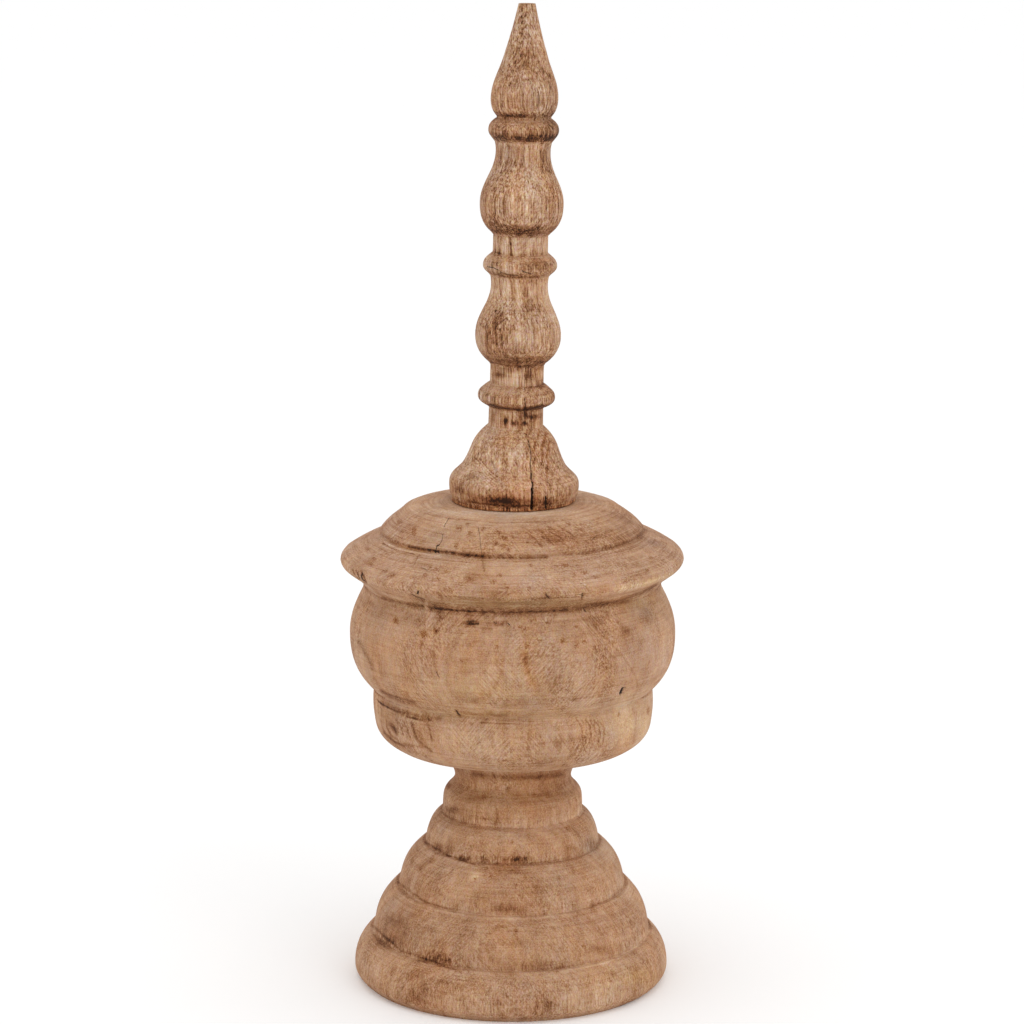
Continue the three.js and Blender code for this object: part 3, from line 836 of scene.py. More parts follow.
# ------------------------------------------------------------------- body
def make_body():
    coarse = Turned("body", DECK, BODY, 2.0, ("seat", "under"), 8.0, 300, 0.7)
    fine_at = [(coarse.angle_at(u, w), 0.014, s) for u, w, s in (
        (438, 540, 1.6), (481.5, 550, 1.2), (417, 593, 1.2), (359, 576, 1.0), (620.5, 691, 1.6), (547, 596, 0.8), (582, 594, 0.8))]
    p = Turned("body", DECK, BODY, 1.12, ("seat", "under"), 8.0, 412, 0.80, fine_at)
    common_wear(p, 41, 0.25, 0.08)
    x, y, z = p.p0.T
    # groove under the raised tier: dark at the front, red-brown at the right
    near = np.exp(-((p.z - 282.2) / 0.62) ** 2) * p.of("tier", "tier_groove", "brim")
    around = 0.45 * np.clip(0.6 + 0.6 * layered(p.t * 4, 0 * x, 0 * x, 43, 2), 0, 1)
    p.add("dirt_and_shade", near * np.clip(around * (p.front < 0.5) + 0.12, 0, 1))
    p.add("dirt_and_shade", p.line([(409, 546.2), (421, 548.4), (434.5, 550.6), (447.5, 551.9), (459, 553.8), (474, 555.3), (483, 556.1)], (3.0, 4.6)), 1.0)
    p.add("dirt_and_shade", p.line([(483, 556.2), (501, 557.4), (520, 557.8), (548, 556.8)], (3.4, 2.4)), 0.60)
    p.add("dirt_and_shade", p.line([(483, 554.2), (501, 555.2), (520, 555.6), (545, 555.0)], 4.0), 0.40)
    p.add("dirt_and_shade", p.line([(383.5, 535.4), (391, 539.0), (400, 543.0), (410, 546.0)], 2.0), 0.42)
    p.add("dirt_and_shade", p.line([(566, 554), (582, 553), (600, 549.4), (615, 545.4), (630, 540.3), (640, 535), (644, 529)], (5.0, 6.0)), 0.34)
    p.lift(p.line([(549, 557), (566, 555.6), (580, 553.8)], 4.0), 0.13)
    p.add("pale", p.line([(584, 556.5), (602, 552.6), (616, 549), (632, 543.6)], 2.0), 0.5)
    p.add("dirt_and_shade", p.line([(382.6, 543), (389.5, 547.2), (398, 550.4), (405.5, 552.2), (414, 553.6)], 1.2), 0.62)
    # a raised pale ledge under the tier groove at the left, with a painted highlight along it
    ledge = p.line([(384, 541.5), (390.3, 545), (398, 548.4), (405.5, 550.4), (415, 552), (427, 553.8), (440, 555.4)], 2.0)
    p.add("pale", ledge, 1.0)
    p.lift(ledge * step(436, 424, p.u), 0.10)
    p.move += ledge * 0.22
    p.wash(p.line([(392, 541.5), (401, 545.5), (410, 548.6), (424, 551)], 3.0), (1.0, 0.90, 0.72))
    # thin lines on the brim under the groove and along the arris of the deck
    for pts, amount in (([(432.3, 557.7), (441.4, 558.6), (448.3, 560), (456.7, 561.4), (470, 561.6)], 0.42),
                        ([(424, 513.4), (431.5, 514.5), (440.7, 516.8), (459, 519.1), (476.6, 520)], 0.34),
                        ([(489.5, 522.2), (503, 522.6), (518, 522), (538, 521.6), (560, 520.4), (580, 517.6), (590, 515.4), (605, 510.8)], 0.36),
                        ([(419, 554.6), (416.6, 557.7), (414.7, 561.5), (414, 564.6)], 0.45), ([(482.4, 559.5), (483, 565), (484.2, 570.5)], 0.5),
                        ([(461.5, 633), (470, 631.2), (480, 629.2), (492, 628.6)], 0.38)):
        v = p.line(pts, 1.2)
        p.add("dirt_and_shade", v, amount)
        dig(p, v, 0.08)
    p.lift(p.line([(446.5, 519), (443.5, 524), (442, 528)], 1.6), 0.12)
    p.wash(p.soft(484, 565, 2.2, 6), (0.86, 0.88, 0.86))
    # groove under the brim: groove dirt all round, and a wide dark band at the front that is painted shade under the
    # overhanging brim
    near = np.exp(-((p.z - 250.7) / 0.9) ** 2) * p.of("brim_under", "brim_groove", "bulb")
    p.add("dirt_and_shade", near * np.clip(around * (p.front < 0.5) + 0.10, 0, 1))
    p.add("dirt_and_shade", p.line([(382, 597.5), (395.4, 601), (408, 604), (417, 605.8), (422.5, 606.4)], (3.0, 4.0)), 0.66)
    p.add("dirt_and_shade", p.line([(430.5, 608), (448.5, 609.8), (480, 611.6), (510, 612), (540, 611.2), (566, 609.8)], (3.6, 3.6)), 1.0)
    p.add("dirt_and_shade", p.line([(430.5, 607.4), (448.5, 609.0), (480, 610.8), (510, 611.2), (540, 610.4), (566, 609.2)], (7.0, 6.6)), 0.66)
    p.add("dirt_and_shade", p.line([(440, 611), (480, 613.6), (512, 614.4), (556, 612.6)], 6.5), 0.36)
    p.add("dirt_and_shade", p.line([(566, 609.8), (584, 607.6), (605, 603.6), (626.7, 599.6)], (6.0, 6.0)), 0.56)
    p.add("dirt_and_shade", p.line([(626.7, 599), (640, 593.4), (656, 584.9)], (5.0, 3.6)), 0.52)
    # groove above the drum: a thin line with a brown band over it at the left
    near = np.exp(-((p.z - 185.0) / 0.6) ** 2)
    p.add("dirt_and_shade", near * np.clip(around * (p.front < 0.5) + 0.05, 0, 1))
    p.add("dirt_and_shade", p.line([(377.7, 700.3), (383.7, 705.3), (391.7, 709.3), (401, 713.3), (407.7, 716), (415, 718.2), (423.7, 719.4), (431, 720.4)], (1.7, 2.0)), 1.0)
    p.add("dirt_and_shade", p.line([(401, 711.0), (409, 713.8), (420, 716.4), (431, 717.6)], 4.2), 0.42)
    p.add("dirt_and_shade", p.line([(384, 702.5), (392, 706.5), (400, 709.6), (408, 711.8)], 3.6), 0.45)
    p.add("dirt_and_shade", p.line([(408, 712.6), (418, 715.4), (430, 717.4), (441, 718.6)], 3.2), 0.52)
    p.add("pale", p.line([(402, 707), (411, 709.4), (420, 711.8)], 2.6), 0.7)
    p.add("dirt_and_shade", p.line([(381, 690.4), (387, 694.4), (394.3, 697), (402.3, 699.6), (413, 702)], (3.0, 4.6)), 0.60)
    p.add("dirt_and_shade", p.line([(438, 718.4), (446, 719.8), (454, 720.8)], 1.2), 0.5)
    p.add("dirt_and_shade", p.line([(462, 712.5), (482, 714.8), (507, 715.6)], 4.0), 0.36)
    p.lift(p.line([(545, 719.6), (575, 717.6), (592, 713), (608, 708.0), (631, 703.0), (650, 696)], 4.0), 0.07)
    p.add("dirt_and_shade", p.line([(522, 721), (537, 721.4), (552, 720.6)], 1.4), 0.32)
    p.wash(p.soft(470, 714, 110, 5), (0.95, 0.95, 0.84))
    for pts, amount in (([(469.4, 723), (482.3, 722.4), (496, 723), (520.6, 723.4)], 0.55), ([(471.4, 725.8), (485, 726.7), (500, 727.8), (520.6, 728.1)], 0.34)):
        v = p.line(pts, 1.1)
        p.add("dirt_and_shade", v, amount)
        dig(p, v, 0.12)
    # cracks and chips
    for pts, width, deep, strength in (
            ([(448.7, 516.8), (446.4, 521), (443.7, 525.8)], 0.8, 0.4, 0.75), ([(442.3, 534), (442, 538), (441, 541.6), (438.4, 544.6)], 0.8, 0.3, 0.6),
            ([(438.4, 544.6), (436.4, 545.4), (435.7, 548.5), (435.3, 552)], 1.2, 0.6, 0.95), ([(434, 551.4), (438, 552.2)], 1.8, 0.4, 0.95),
            ([(478, 527), (479.6, 535.5), (480, 541), (480.7, 548.5), (481.9, 556)], 0.7, 0.2, 0.55),
            ([(417.6, 591.8), (417.0, 594.6)], 1.6, 0.9, 1.0), ([(411.5, 595), (417, 598), (424, 599.8)], 1.4, 0.6, 0.9),
            ([(356.4, 572.5), (358.6, 578)], 1.5, 0.5, 0.62), ([(361.2, 573), (364.8, 582)], 2.2, 0.7, 0.85),
            ([(546, 594.5), (550, 599.2)], 1.1, 0.5, 0.7), ([(582.8, 593.3), (581.6, 598)], 1.1, 0.5, 0.7), ([(578, 594.5), (582, 595)], 0.7, 0.3, 0.7),
            ([(623.9, 689.4), (622.7, 691.4), (621.8, 693.6)], 4.3, 1.4, 1.0), ([(456.3, 711), (459.4, 715.2)], 1.6, 0.5, 0.9),
            ([(583, 608), (585.6, 611.2)], 1.1, 0.3, 0.75), ([(493, 622), (497, 623.2)], 0.8, 0.3, 0.6), ([(507.5, 622.7), (509.5, 624.5)], 1.0, 0.4, 0.9),
            ([(367.5, 606), (366.5, 610)], 0.8, 0.3, 0.5), ([(466, 621), (474, 620.6)], 1.2, 0.3, 0.6), ([(467, 624), (478, 623.6)], 1.5, 0.4, 0.7),
            ([(420.5, 566.5), (427, 569.5)], 0.8, 0.2, 0.6), ([(592, 539.5), (597, 535.5)], 0.8, 0.2, 0.5), ([(436, 672), (438.8, 677)], 1.1, 0.3, 0.6)):
        p.score(pts, width, deep, strength)
    for pts, wide, amount in (([(352.4, 569), (354, 573.5)], 1.6, 0.6), ([(356.2, 571), (358.8, 578.5)], 2.0, 0.60), ([(361.2, 572), (365.4, 582.6)], 2.6, 0.70),
                              ([(545, 594), (550.5, 600)], 3.4, 0.35), ([(583, 593), (581.4, 599)], 3.0, 0.35), ([(412, 595.4), (424, 600.4)], 3.0, 0.45), ([(455.5, 710), (460, 716)], 3.2, 0.45)):
        p.add("dirt_and_shade", p.line(pts, wide), amount)
    # a broken grey-brown line along the lip
    v = p.line([(442, 596.5), (480, 598), (520, 598.6), (550, 598), (590, 596)], 1.5) * np.clip(0.6 + 0.9 * layered(p.t * 9, 0 * x, 0 * x, 49, 2), 0, 1)
    p.add("dirt_and_shade", v, 0.42)
    p.wash(v, (0.95, 0.98, 1.0))
    # ragged lower edge of the brim
    edge_band = np.exp(-((p.z - 262.5) / 1.6) ** 2)
    flecks(p, edge_band * np.clip(0.6 + 0.6 * layered(p.t * 5, 0 * x, 0 * x, 44, 2), 0, 1), 1.0, 2.0, 45, 0.34, 0.35, 0.6)
    p.add("torn", edge_band * np.clip(0.4 + 0.6 * layered(p.t * 5, 0 * x, 0 * x, 46, 2), 0, 1), 0.7)
    strip = p.line([(617, 588.4), (630, 586.4), (645, 583), (658, 578.6), (671, 573.6)], (6.5, 4.0))
    p.add("torn", strip, 1.0)
    p.add("pale", strip, 1.0)
    p.lift(strip, 0.10)
    p.wash(strip, (1.02, 1.03, 0.92))
    p.add("stain", p.line([(617.4, 586), (617.2, 591)], 1.6), 0.6)
    flecks(p, strip, 1.2, 5.0, 47, 0.3, 0.3, 0.5)
    strip = p.line([(372, 583), (392, 589), (412, 592)], 9.0)
    p.add("torn", strip, 0.7)
    p.add("pale", strip, 0.35)
    # fibrous patches under the brim
    for u0, w0, a, b, c in ((471.5, 622.5, 7.5, 3.4, 0.95), (498, 622.8, 9, 2.6, 0.7), (540, 620, 14, 2.4, 0.2)):
        flecks(p, p.soft(u0, w0, a, b), 0.9, 2.6, 48, c, 0.45, 1.0)
        p.add("dirt_and_shade", p.soft(u0, w0, a * 0.85, b * 0.85), 0.9 * c)
        p.add("torn", p.soft(u0, w0, a, b), 0.8)
    # rust specks: (across, down, half width, half height)
    for u0, w0, a, b in (
            (396, 620, 3.2, 2.8), (423.6, 633, 4.0, 3.6), (436, 631, 2.9, 2.8), (421, 643.5, 1.8, 1.8), (497, 646.7, 1.3, 1.5), (461, 660.8, 1.2, 1.2),
            (394, 606, 2.2, 1.2), (403, 609, 1.6, 1.4), (439, 616.8, 1.2, 1.2), (469.7, 578.9, 5, 1.8), (499.6, 574.7, 2.4, 1.6), (425, 574.7, 1.6, 1.2),
            (438, 578.5, 1.4, 1.2), (450.5, 590, 1.6, 2.0), (445, 571, 2.4, 1.2), (430, 567, 1.6, 1.0), (436.5, 569, 2.2, 1.2), (493, 582, 3, 2), (507, 587.4, 1.2, 1.2),
            (530.6, 565, 1.5, 1.2), (564.5, 565.1, 3.6, 1.6), (556, 565.7, 3, 1.0), (584.4, 572.5, 4, 1.6), (595, 576.8, 2.0, 1.2), (574, 574.3, 1.2, 0.9),
            (529, 588.7, 1.2, 1.4), (506, 587.4, 1.2, 1.2), (519.8, 626.3, 2, 1.2), (526, 628.2, 2.2, 1.4),
            (547, 622.5, 2.2, 1.2), (575.3, 626.3, 1.6, 1.2), (527.4, 644.8, 2.6, 3.2), (538.9, 639.7, 1.6, 1.2), (562.5, 640.4, 2.4, 2.6), (576.5, 645.5, 1.6, 1.4),
            (584.8, 641.6, 2.4, 1.8), (594.4, 648, 1.8, 1.2), (602, 663.3, 1.8, 1.6), (618, 714.3, 1.2, 1.8), (648, 710.5, 1.0, 3), (510.8, 750, 1.0, 1.2),
            (458.8, 527.4, 3.2, 2.2), (469.7, 532.6, 1.4, 1.2), (499, 532, 2.2, 1.4), (512.2, 536.6, 1.8, 1.2), (504.2, 537.5, 4.5, 2.2), (495.6, 542.9, 3, 1.8),
            (503.6, 545.8, 3.4, 2.0), (508.2, 549.2, 1.4, 1.2), (482.9, 529.1, 1.6, 1.0), (467.4, 523.4, 2, 1.2), (456.5, 544.6, 1.4, 1.8), (399, 522, 2, 1.6),
            (373.3, 558.4, 2.2, 1.4), (367.5, 548.6, 1.8, 1.0), (371, 563.6, 2, 1.2), (594, 537, 3.2, 1.4),
            (568.8, 523.3, 2, 1), (527, 542, 3, 1.2), (650.6, 557.3, 2, 1.2),
            (647.6, 570, 1.4, 1.2), (625, 581, 2.4, 1.2), (492.6, 581.7, 3, 1.8), (414, 531, 2, 4), (392, 575, 2.6, 2), (385, 571, 2, 1.4)):
        grow = 0.32 * max(0.0, 2.6 - a)
        p.spot(u0, w0, a * 0.95 + grow, b * 1.05 + grow, 8)
    for u0, w0, a, amount in ((423.6, 633, 5.5, 0.75), (436, 631, 4, 0.5), (396, 620, 5, 0.5), (527.4, 645, 4, 0.5), (562.5, 640.4, 3.4, 0.6), (379, 624, 3, 0.4), (504, 540, 7, 0.4), (470, 579, 5, 0.4)):
        p.wash(amount * p.soft(u0, w0, a, a * 0.85), (0.92, 0.82, 0.62))
    p.add("dirt_and_shade", p.soft(436, 631, 1.8, 1.8), 0.55)
    p.add("dirt_and_shade", p.soft(562.5, 640.4, 1.4, 1.6), 0.45)
    p.add("dirt_and_shade", p.soft(396, 620.5, 1.6, 1.4), 0.35)
    # streaky brown patch on the right of the tier, and olive smudges on the brim
    for k in range(11):
        u0, w0 = 521 + 5.2 * k, 526 + 3.5 * ((k * 7) % 5) - 0.08 * k
        p.add("dirt_and_shade", p.line([(u0, w0), (u0 + 7, w0 + 3.6), (u0 + 11, w0 + 7.5)], 1.6), 0.30 + 0.03 * ((k * 3) % 5))
    p.wash(p.soft(548, 535, 32, 9), (1.0, 0.92, 0.84))
    p.add("dirt_and_shade", p.soft(598, 535, 5, 1.8, 35), 0.3)
    for u0, w0, a, b in ((620, 565, 5, 2.2), (634, 563.5, 4, 2), (607, 571, 6, 2), (592, 544, 6, 3), (571, 548, 7, 3)):
        p.add("dirt_and_shade", p.soft(u0, w0, a, b), 0.22)
    p.wash(p.soft(652, 543, 10, 4.5, -8), (0.90, 0.92, 0.98))
    p.lift(p.soft(652, 543, 10, 4, -8), -0.05)
    # curved hatching of the growth lines on the drum
    for k in range(6):
        u0 = 580 + 4.4 * k
        arc = p.line([(u0 - 3.5, 719 + 0.4 * k), (u0 + 1.0, 726), (u0 + 2.2, 734), (u0 + 0.6, 742), (u0 - 4.5, 750)], 1.5)
        p.add("dirt_and_shade", arc, 0.42 if k % 2 else 0.55)
    for u0, w0, a, b, amount in ((542, 745, 3, 5, 0.30), (558, 745, 3, 5, 0.22), (583, 739, 3.5, 9, 0.24), (598, 741, 3, 4, 0.28), (492, 731, 2.2, 3.4, 0.26)):
        p.add("dirt_and_shade", p.soft(u0, w0, a, b, -12), amount)
    for pts in ([(538, 736), (542, 744), (549, 751)], [(546, 735), (551, 744), (558, 752)], [(556, 734), (562, 743), (568, 751)], [(566, 735), (572, 744), (577, 750)]):
        p.add("pale", p.line(pts, 1.2), 0.5)
        p.add("dirt_and_shade", p.line([(q[0] + 2.2, q[1]) for q in pts], 1.3), 0.25)
    # streaks and a small knot at the left of the drum, and a grey streak at the bulb's left
    for pts, wide, amount in (([(411.7, 722.7), (414.3, 730.7), (417, 738.7), (421.7, 743.3), (431.7, 750.7)], 2.8, 0.60),
                              ([(427, 723.3), (429.7, 729.3), (431.7, 740)], 2.0, 0.46), ([(390.5, 723.5), (393.7, 728), (396.5, 732.5)], 4.0, 0.80),
                              ([(386.5, 720), (386.5, 727), (391, 735), (398, 739.5)], 1.5, 0.50), ([(396, 719.5), (401, 726), (403, 734)], 1.4, 0.44), ([(380.5, 719), (382, 728), (388, 737)], 1.4, 0.42),
                              ([(404, 722), (408, 731), (411, 740)], 1.5, 0.34), ([(418, 730), (421, 737), (424, 742)], 4.0, 0.36),
                              ([(383.7, 732), (391.7, 739.3), (397, 743.3), (405, 746)], 2.2, 0.56), ([(400, 743.5), (414, 746), (424, 746.5), (432, 751)], 2.4, 0.44),
                              ([(358.5, 641), (363, 649), (368.4, 659), (372, 668)], 3.4, 0.34), ([(373, 676), (379, 686)], 2.6, 0.22),
                              ([(524, 655), (526.7, 668), (532, 681)], 4.0, 0.30)):
        p.add("dirt_and_shade", p.line(pts, wide), amount)
    p.wash(p.line([(358.5, 641), (363, 649), (368.4, 659), (372, 668)], 7), (0.90, 0.95, 1.0))
    p.wash(p.line([(524, 653), (526.7, 668), (532, 683)], 8), (1.02, 0.88, 0.68))
    # stains, washes, and paler and darker patches, among them painted light on the deck and painted shade under the
    # brim
    for u0, w0, a, b, turn, amount in (
            (556, 533, 22, 9, 10, 0.16), (627, 630, 6, 4.5, 0, 0.36), (645, 620, 7, 5, 0, 0.26), (646, 612, 8, 4, 0, 0.20),
            (618.5, 622, 4, 3, 0, 0.22), (640, 642, 5, 4, 0, 0.14), (408, 528, 12, 4, -35, 0.16), (404, 745, 14, 4, 30, 0.14),
            (546, 690, 20, 6, 0, 0.10), (578, 698, 8, 2.6, -25, 0.26), (602, 690, 8, 2.4, -25, 0.16),
            (372, 565, 10, 5, 20, 0.14), (560, 742, 36, 9, 0, 0.08), (440, 576, 26, 4, 4, 0.08)):
        p.add("stain", p.soft(u0, w0, a, b, turn), amount)
    p.wash(p.soft(512, 603, 110, 5), (0.87, 0.90, 0.78))
    p.lift(p.soft(622, 521, 16, 12), -0.10)
    p.lift(p.soft(622, 700, 5, 3), 0.03)
    p.wash(p.soft(622, 521, 16, 12), (0.98, 0.99, 1.04))
    p.lift(p.soft(520, 636, 100, 12), 0.035)
    p.wash(p.soft(470, 690, 60, 16), (0.99, 1.01, 0.93))
    p.wash(p.soft(560, 690, 40, 12), (0.97, 0.98, 0.98))
    p.wash(p.soft(430, 660, 22, 22), (1.02, 0.98, 0.96))
    p.wash(p.soft(500, 571, 60, 5), (1.0, 1.01, 0.97))
    p.wash(p.band(267, 281), (0.995, 1.0, 1.035))
    p.wash(p.soft(640, 655, 20, 26), (0.99, 1.0, 1.05))
    p.lift(p.soft(520, 568, 40, 4), 0.03)
    p.wash(p.soft(395, 525, 18, 16), (0.96, 0.94, 0.98))
    p.wash(p.soft(640, 600, 24, 7, -20), (0.97, 0.96, 0.88))
    # painted light: the deck paler, most of all in front of the bell's foot where the bell's shadow falls
    p.lift(p.of("deck").astype(float) * np.clip(1 - p.soft(452, 497, 16, 9) - p.soft(575, 497, 16, 8), 0, 1), 0.075)
    p.lift(p.soft(512, 515, 70, 4), 0.03)
    p.lift(p.soft(515, 511.5, 48, 3.3), 0.34)
    p.lift(p.soft(515, 592, 92, 4), -0.10)
    p.lift(p.soft(368, 566, 20, 10), 0.03)
    p.lift(p.soft(640, 660, 24, 20), 0.02)
    p.wash(p.soft(410, 530, 24, 13), (0.972, 1.0, 1.05))
    p.wash(p.soft(595, 530, 36, 8), (0.985, 1.0, 1.02))
    p.wash(p.soft(625, 564, 36, 9), (0.985, 1.005, 1.015))
    p.wash(p.soft(520, 701, 90, 7), (0.972, 1.0, 1.04))
    p.wash(p.soft(512, 764, 74, 5), (0.98, 1.005, 1.01))
    p.wash(p.soft(512, 604, 100, 4), (0.985, 1.005, 1.01))
    p.lift(p.soft(485, 536, 40, 12), -0.025)
    p.lift(p.soft(510, 652, 84, 30), -0.025)
    p.lift(p.soft(520, 702, 80, 7), -0.05)
    p.lift(p.soft(403, 726, 24, 14, 20), -0.05)
    p.lift(p.soft(510, 764, 74, 5), -0.06)
    p.lift(p.soft(600, 540, 34, 18), -0.07)
    p.lift(p.soft(545, 537, 26, 12), -0.035)
    p.lift(p.soft(640, 555, 24, 10, -8), 0.05)
    # painted shade: a darker band under the overhanging brim
    p.lift(p.soft(512, 603, 110, 4.5), -0.13)
    p.lift(p.soft(500, 618, 110, 7), -0.02)
    p.lift(p.soft(655, 655, 16, 26), 0.06)
    p.lift(p.soft(630, 722, 22, 24), 0.19)
    p.lift(p.soft(590, 665, 24, 22), 0.03)
    p.lift(p.soft(398, 716, 20, 12, 14), -0.03)
    p.wash(p.soft(630, 722, 22, 24), (1.03, 1.05, 0.95))
    p.wash(p.soft(645, 612, 14, 8), (0.88, 0.92, 0.98))
    p.wash(p.soft(660, 650, 12, 24), (1.02, 1.02, 1.06))
    p.wash(p.soft(640, 645, 16, 14), (0.92, 0.93, 0.97))
    p.wash(p.soft(470, 742, 30, 10), (1.05, 1.07, 1.02))
    p.wash(p.soft(400, 640, 60, 30), (1.0, 0.98, 0.95))
    p.wash(p.soft(600, 550, 60, 12), (0.95, 0.92, 0.90))
    p.wash(p.soft(512, 490, 60, 16), (0.93, 0.92, 0.92))
    p.figure(545, 742, 0.024, 0.0040, 0.75, 0.35)
    p.figure(470, 640, 0.040, 0.0048, 0.6, 0.35)
    # the boards meet in two faint upright seams
    strip = p.line([(427.4, 604), (428.4, 615), (427.8, 628), (428.2, 642)], 5.0)
    p.lift(strip, 0.07)
    p.wash(strip, (1.02, 0.99, 1.02))
    for pts, wide, amount in (([(429.5, 652), (432.3, 659), (436.8, 673), (440.5, 684), (445, 695), (452, 704)], 1.4, 0.26), ([(423.6, 606), (424.4, 622), (424.2, 640)], 1.0, 0.16),
                              ([(590.7, 616), (600, 632), (613.3, 645.3), (624, 657.3), (630.7, 668), (636, 677.3), (637.3, 688), (630.7, 702.7)], 2.0, 0.20),
                              ([(632.7, 707), (635, 718), (635.4, 729), (634, 740)], 3.0, 0.22)):
        v = p.line(pts, wide)
        p.add("dirt_and_shade", v, amount)
        dig(p, v, 0.06)
    p.lift(p.line([(615, 644), (625, 655), (632.5, 667)], 2.0), 0.06)
    p.wash(p.line([(632.7, 707), (635, 718), (635.4, 729), (634, 740)], 5.0), (0.95, 0.93, 1.0))
    return p


# ------------------------------------------------------------------ spire
def make_spire():
    coarse = Turned("spire", HEIGHT, SPIRE, 2.0, ("under",), 6.0, 200, 0.7)
    fine_at = [(coarse.angle_at(u, w), 0.05, s) for u, w, s in ((532, 495, 2.2), (546, 502, 1.2))]
    p = Turned("spire", HEIGHT, SPIRE, 0.88, ("under",), 6.0, 248, 0.70, fine_at)
    common_wear(p, 71, 0.16, 0.09)
    x, y, z = p.p0.T
    # long open pores, cut as shallow upright furrows
    f = noise(p.arc / 0.95, 0 * x, p.z / 14, 72) * 0.6 + noise(p.arc / 0.6, 0 * x + 0.5, p.z / 7, 73) * 0.4
    steep = step(0.55, 0.9, np.abs(p.nr))
    patchy = np.clip(0.55 + 0.6 * layered(p.t * 2, 0 * x, p.z / 35, 74, 2), 0, 1)
    furrow = step(0.30, 0.55, f) * steep * patchy
    p.add("pit", furrow, 0.45)
    dig(p, furrow, 0.16)
    # undersides and hollows are browner and torn
    for low, high, dirt_and_shade, torn in ((534.7, 539.2, 0.75, 0.6), (520.2, 526.2, 0.7, 0.6), (464.4, 471.4, 0.52, 0.4), (439.4, 444.2, 0.85, 0.4),
                                  (385.2, 392.4, 0.62, 0.4), (358.6, 362.6, 1.1, 0.4), (453.1, 454.3, 0.30, 0.1), (373.2, 374.6, 0.4, 0.1)):
        band = step(low - 0.8, low + 0.8, p.z) * step(high, low + (high - low) * 0.35, p.z)
        uneven = np.clip(0.7 + 0.5 * layered(p.t * 1.8, 0 * x, p.z / 20, int(low), 2), 0, 1)
        p.add("dirt_and_shade", band * uneven, dirt_and_shade * 0.62)
        p.add("torn", band * uneven, torn)
        flecks(p, band * uneven, 0.9, 2.6, int(low) + 1, 0.30, 0.25, 0.6)
    # the darker foot of the bell with a thin dotted orange-brown rim under it
    p.add("dirt_and_shade", np.exp(-((p.z - 305.4) / 1.7) ** 2) * np.clip(0.5 * (p.front < 0.5) + 0.12, 0, 1))
    p.add("dirt_and_shade", p.line([(468, 500.5), (480, 503.2), (500, 505.4), (520, 506), (534, 505.4)], (2.6, 4.2)), 0.98)
    p.add("dirt_and_shade", p.soft(502, 500.3, 33, 4.4, 2.5), 0.92)
    p.add("dirt_and_shade", p.soft(488, 500, 16, 3.2, 8), 0.45)
    p.add("dirt_and_shade", p.soft(545, 502, 5, 4.5), 0.72)
    p.add("dirt_and_shade", p.soft(562, 496.5, 9, 2.2, -14), 0.40)
    for pts in ([(453, 495.5), (461, 499), (471, 502.5)], [(457, 493.6), (465, 497), (474, 499.6)], [(456, 500), (464, 503.4), (474, 506)], [(549, 485.6), (558, 484.6), (566, 482.8)]):
        p.add("dirt_and_shade", p.line(pts, 1.2), 0.45)
    p.add("torn", np.exp(-((p.z - 309) / 4.5) ** 2), 0.10)
    p.add("torn", np.exp(-((p.z - 302.3) / 0.9) ** 2), 0.5)
    flecks(p, np.exp(-((p.z - 309) / 4.0) ** 2), 0.9, 3.0, 75, 0.10, 0.2, 0.25)
    # the grain is rubbed smooth low on the bell and where the growth lines sweep over it
    for smooth, amount in ((p.band(305, 317, 2.5), 0.45), (p.soft(478, 470, 17, 12), 0.48), (p.soft(500, 452, 16, 12), 0.26)):
        p.add("dirt_and_shade", smooth, amount)
        p.lift(smooth, amount * 0.40)
    # the foot of the bell made darker, and its rim orange
    p.lift(p.soft(506, 500.8, 30, 5.0, 3), -0.43)
    p.lift(p.soft(505, 504, 26, 2.4), -0.03)
    p.lift(p.soft(466, 489, 9, 8), -0.10)
    p.lift(p.soft(548, 501.5, 10, 4), -0.19)
    p.lift(p.band(300, 303.2, 0.4), -0.10)
    p.wash(p.soft(505, 499, 46, 9), (1.04, 0.93, 0.82))
    p.wash(np.exp(-((p.z - 302.2) / 0.95) ** 2) * (p.z < 303.8), (1.0, 0.80, 0.58))
    p.add("dirt_and_shade", np.exp(-((p.z - 303.4) / 0.35) ** 2), 0.35)
    # growth lines sweeping over the bell's left side
    sweep = [(462, 470), (467.2, 465.0), (471.6, 461.6), (475.5, 458.6), (479.5, 458.8), (483, 462.6), (487.4, 468.2), (492.1, 472.6), (497.5, 477)]
    for k in range(6):
        p.add("dirt_and_shade", p.line([(q[0] - 1.0 * k, q[1] + 2.3 * k) for q in sweep[(0 if k < 3 else 1):]], 1.5), 0.96 - 0.06 * k)
        p.lift(p.line([(q[0] - 1.0 * k - 0.4, q[1] + 2.3 * k + 1.2) for q in sweep[(0 if k < 3 else 1):]], 1.6), 0.20)
    p.add("dirt_and_shade", p.line([(491.5, 461), (494.4, 466.5), (497, 473.4)], 1.8), 0.42)
    p.wash(p.line([(491.5, 461), (494.4, 466.5), (497, 473.4)], 4), (0.86, 0.92, 1.0))
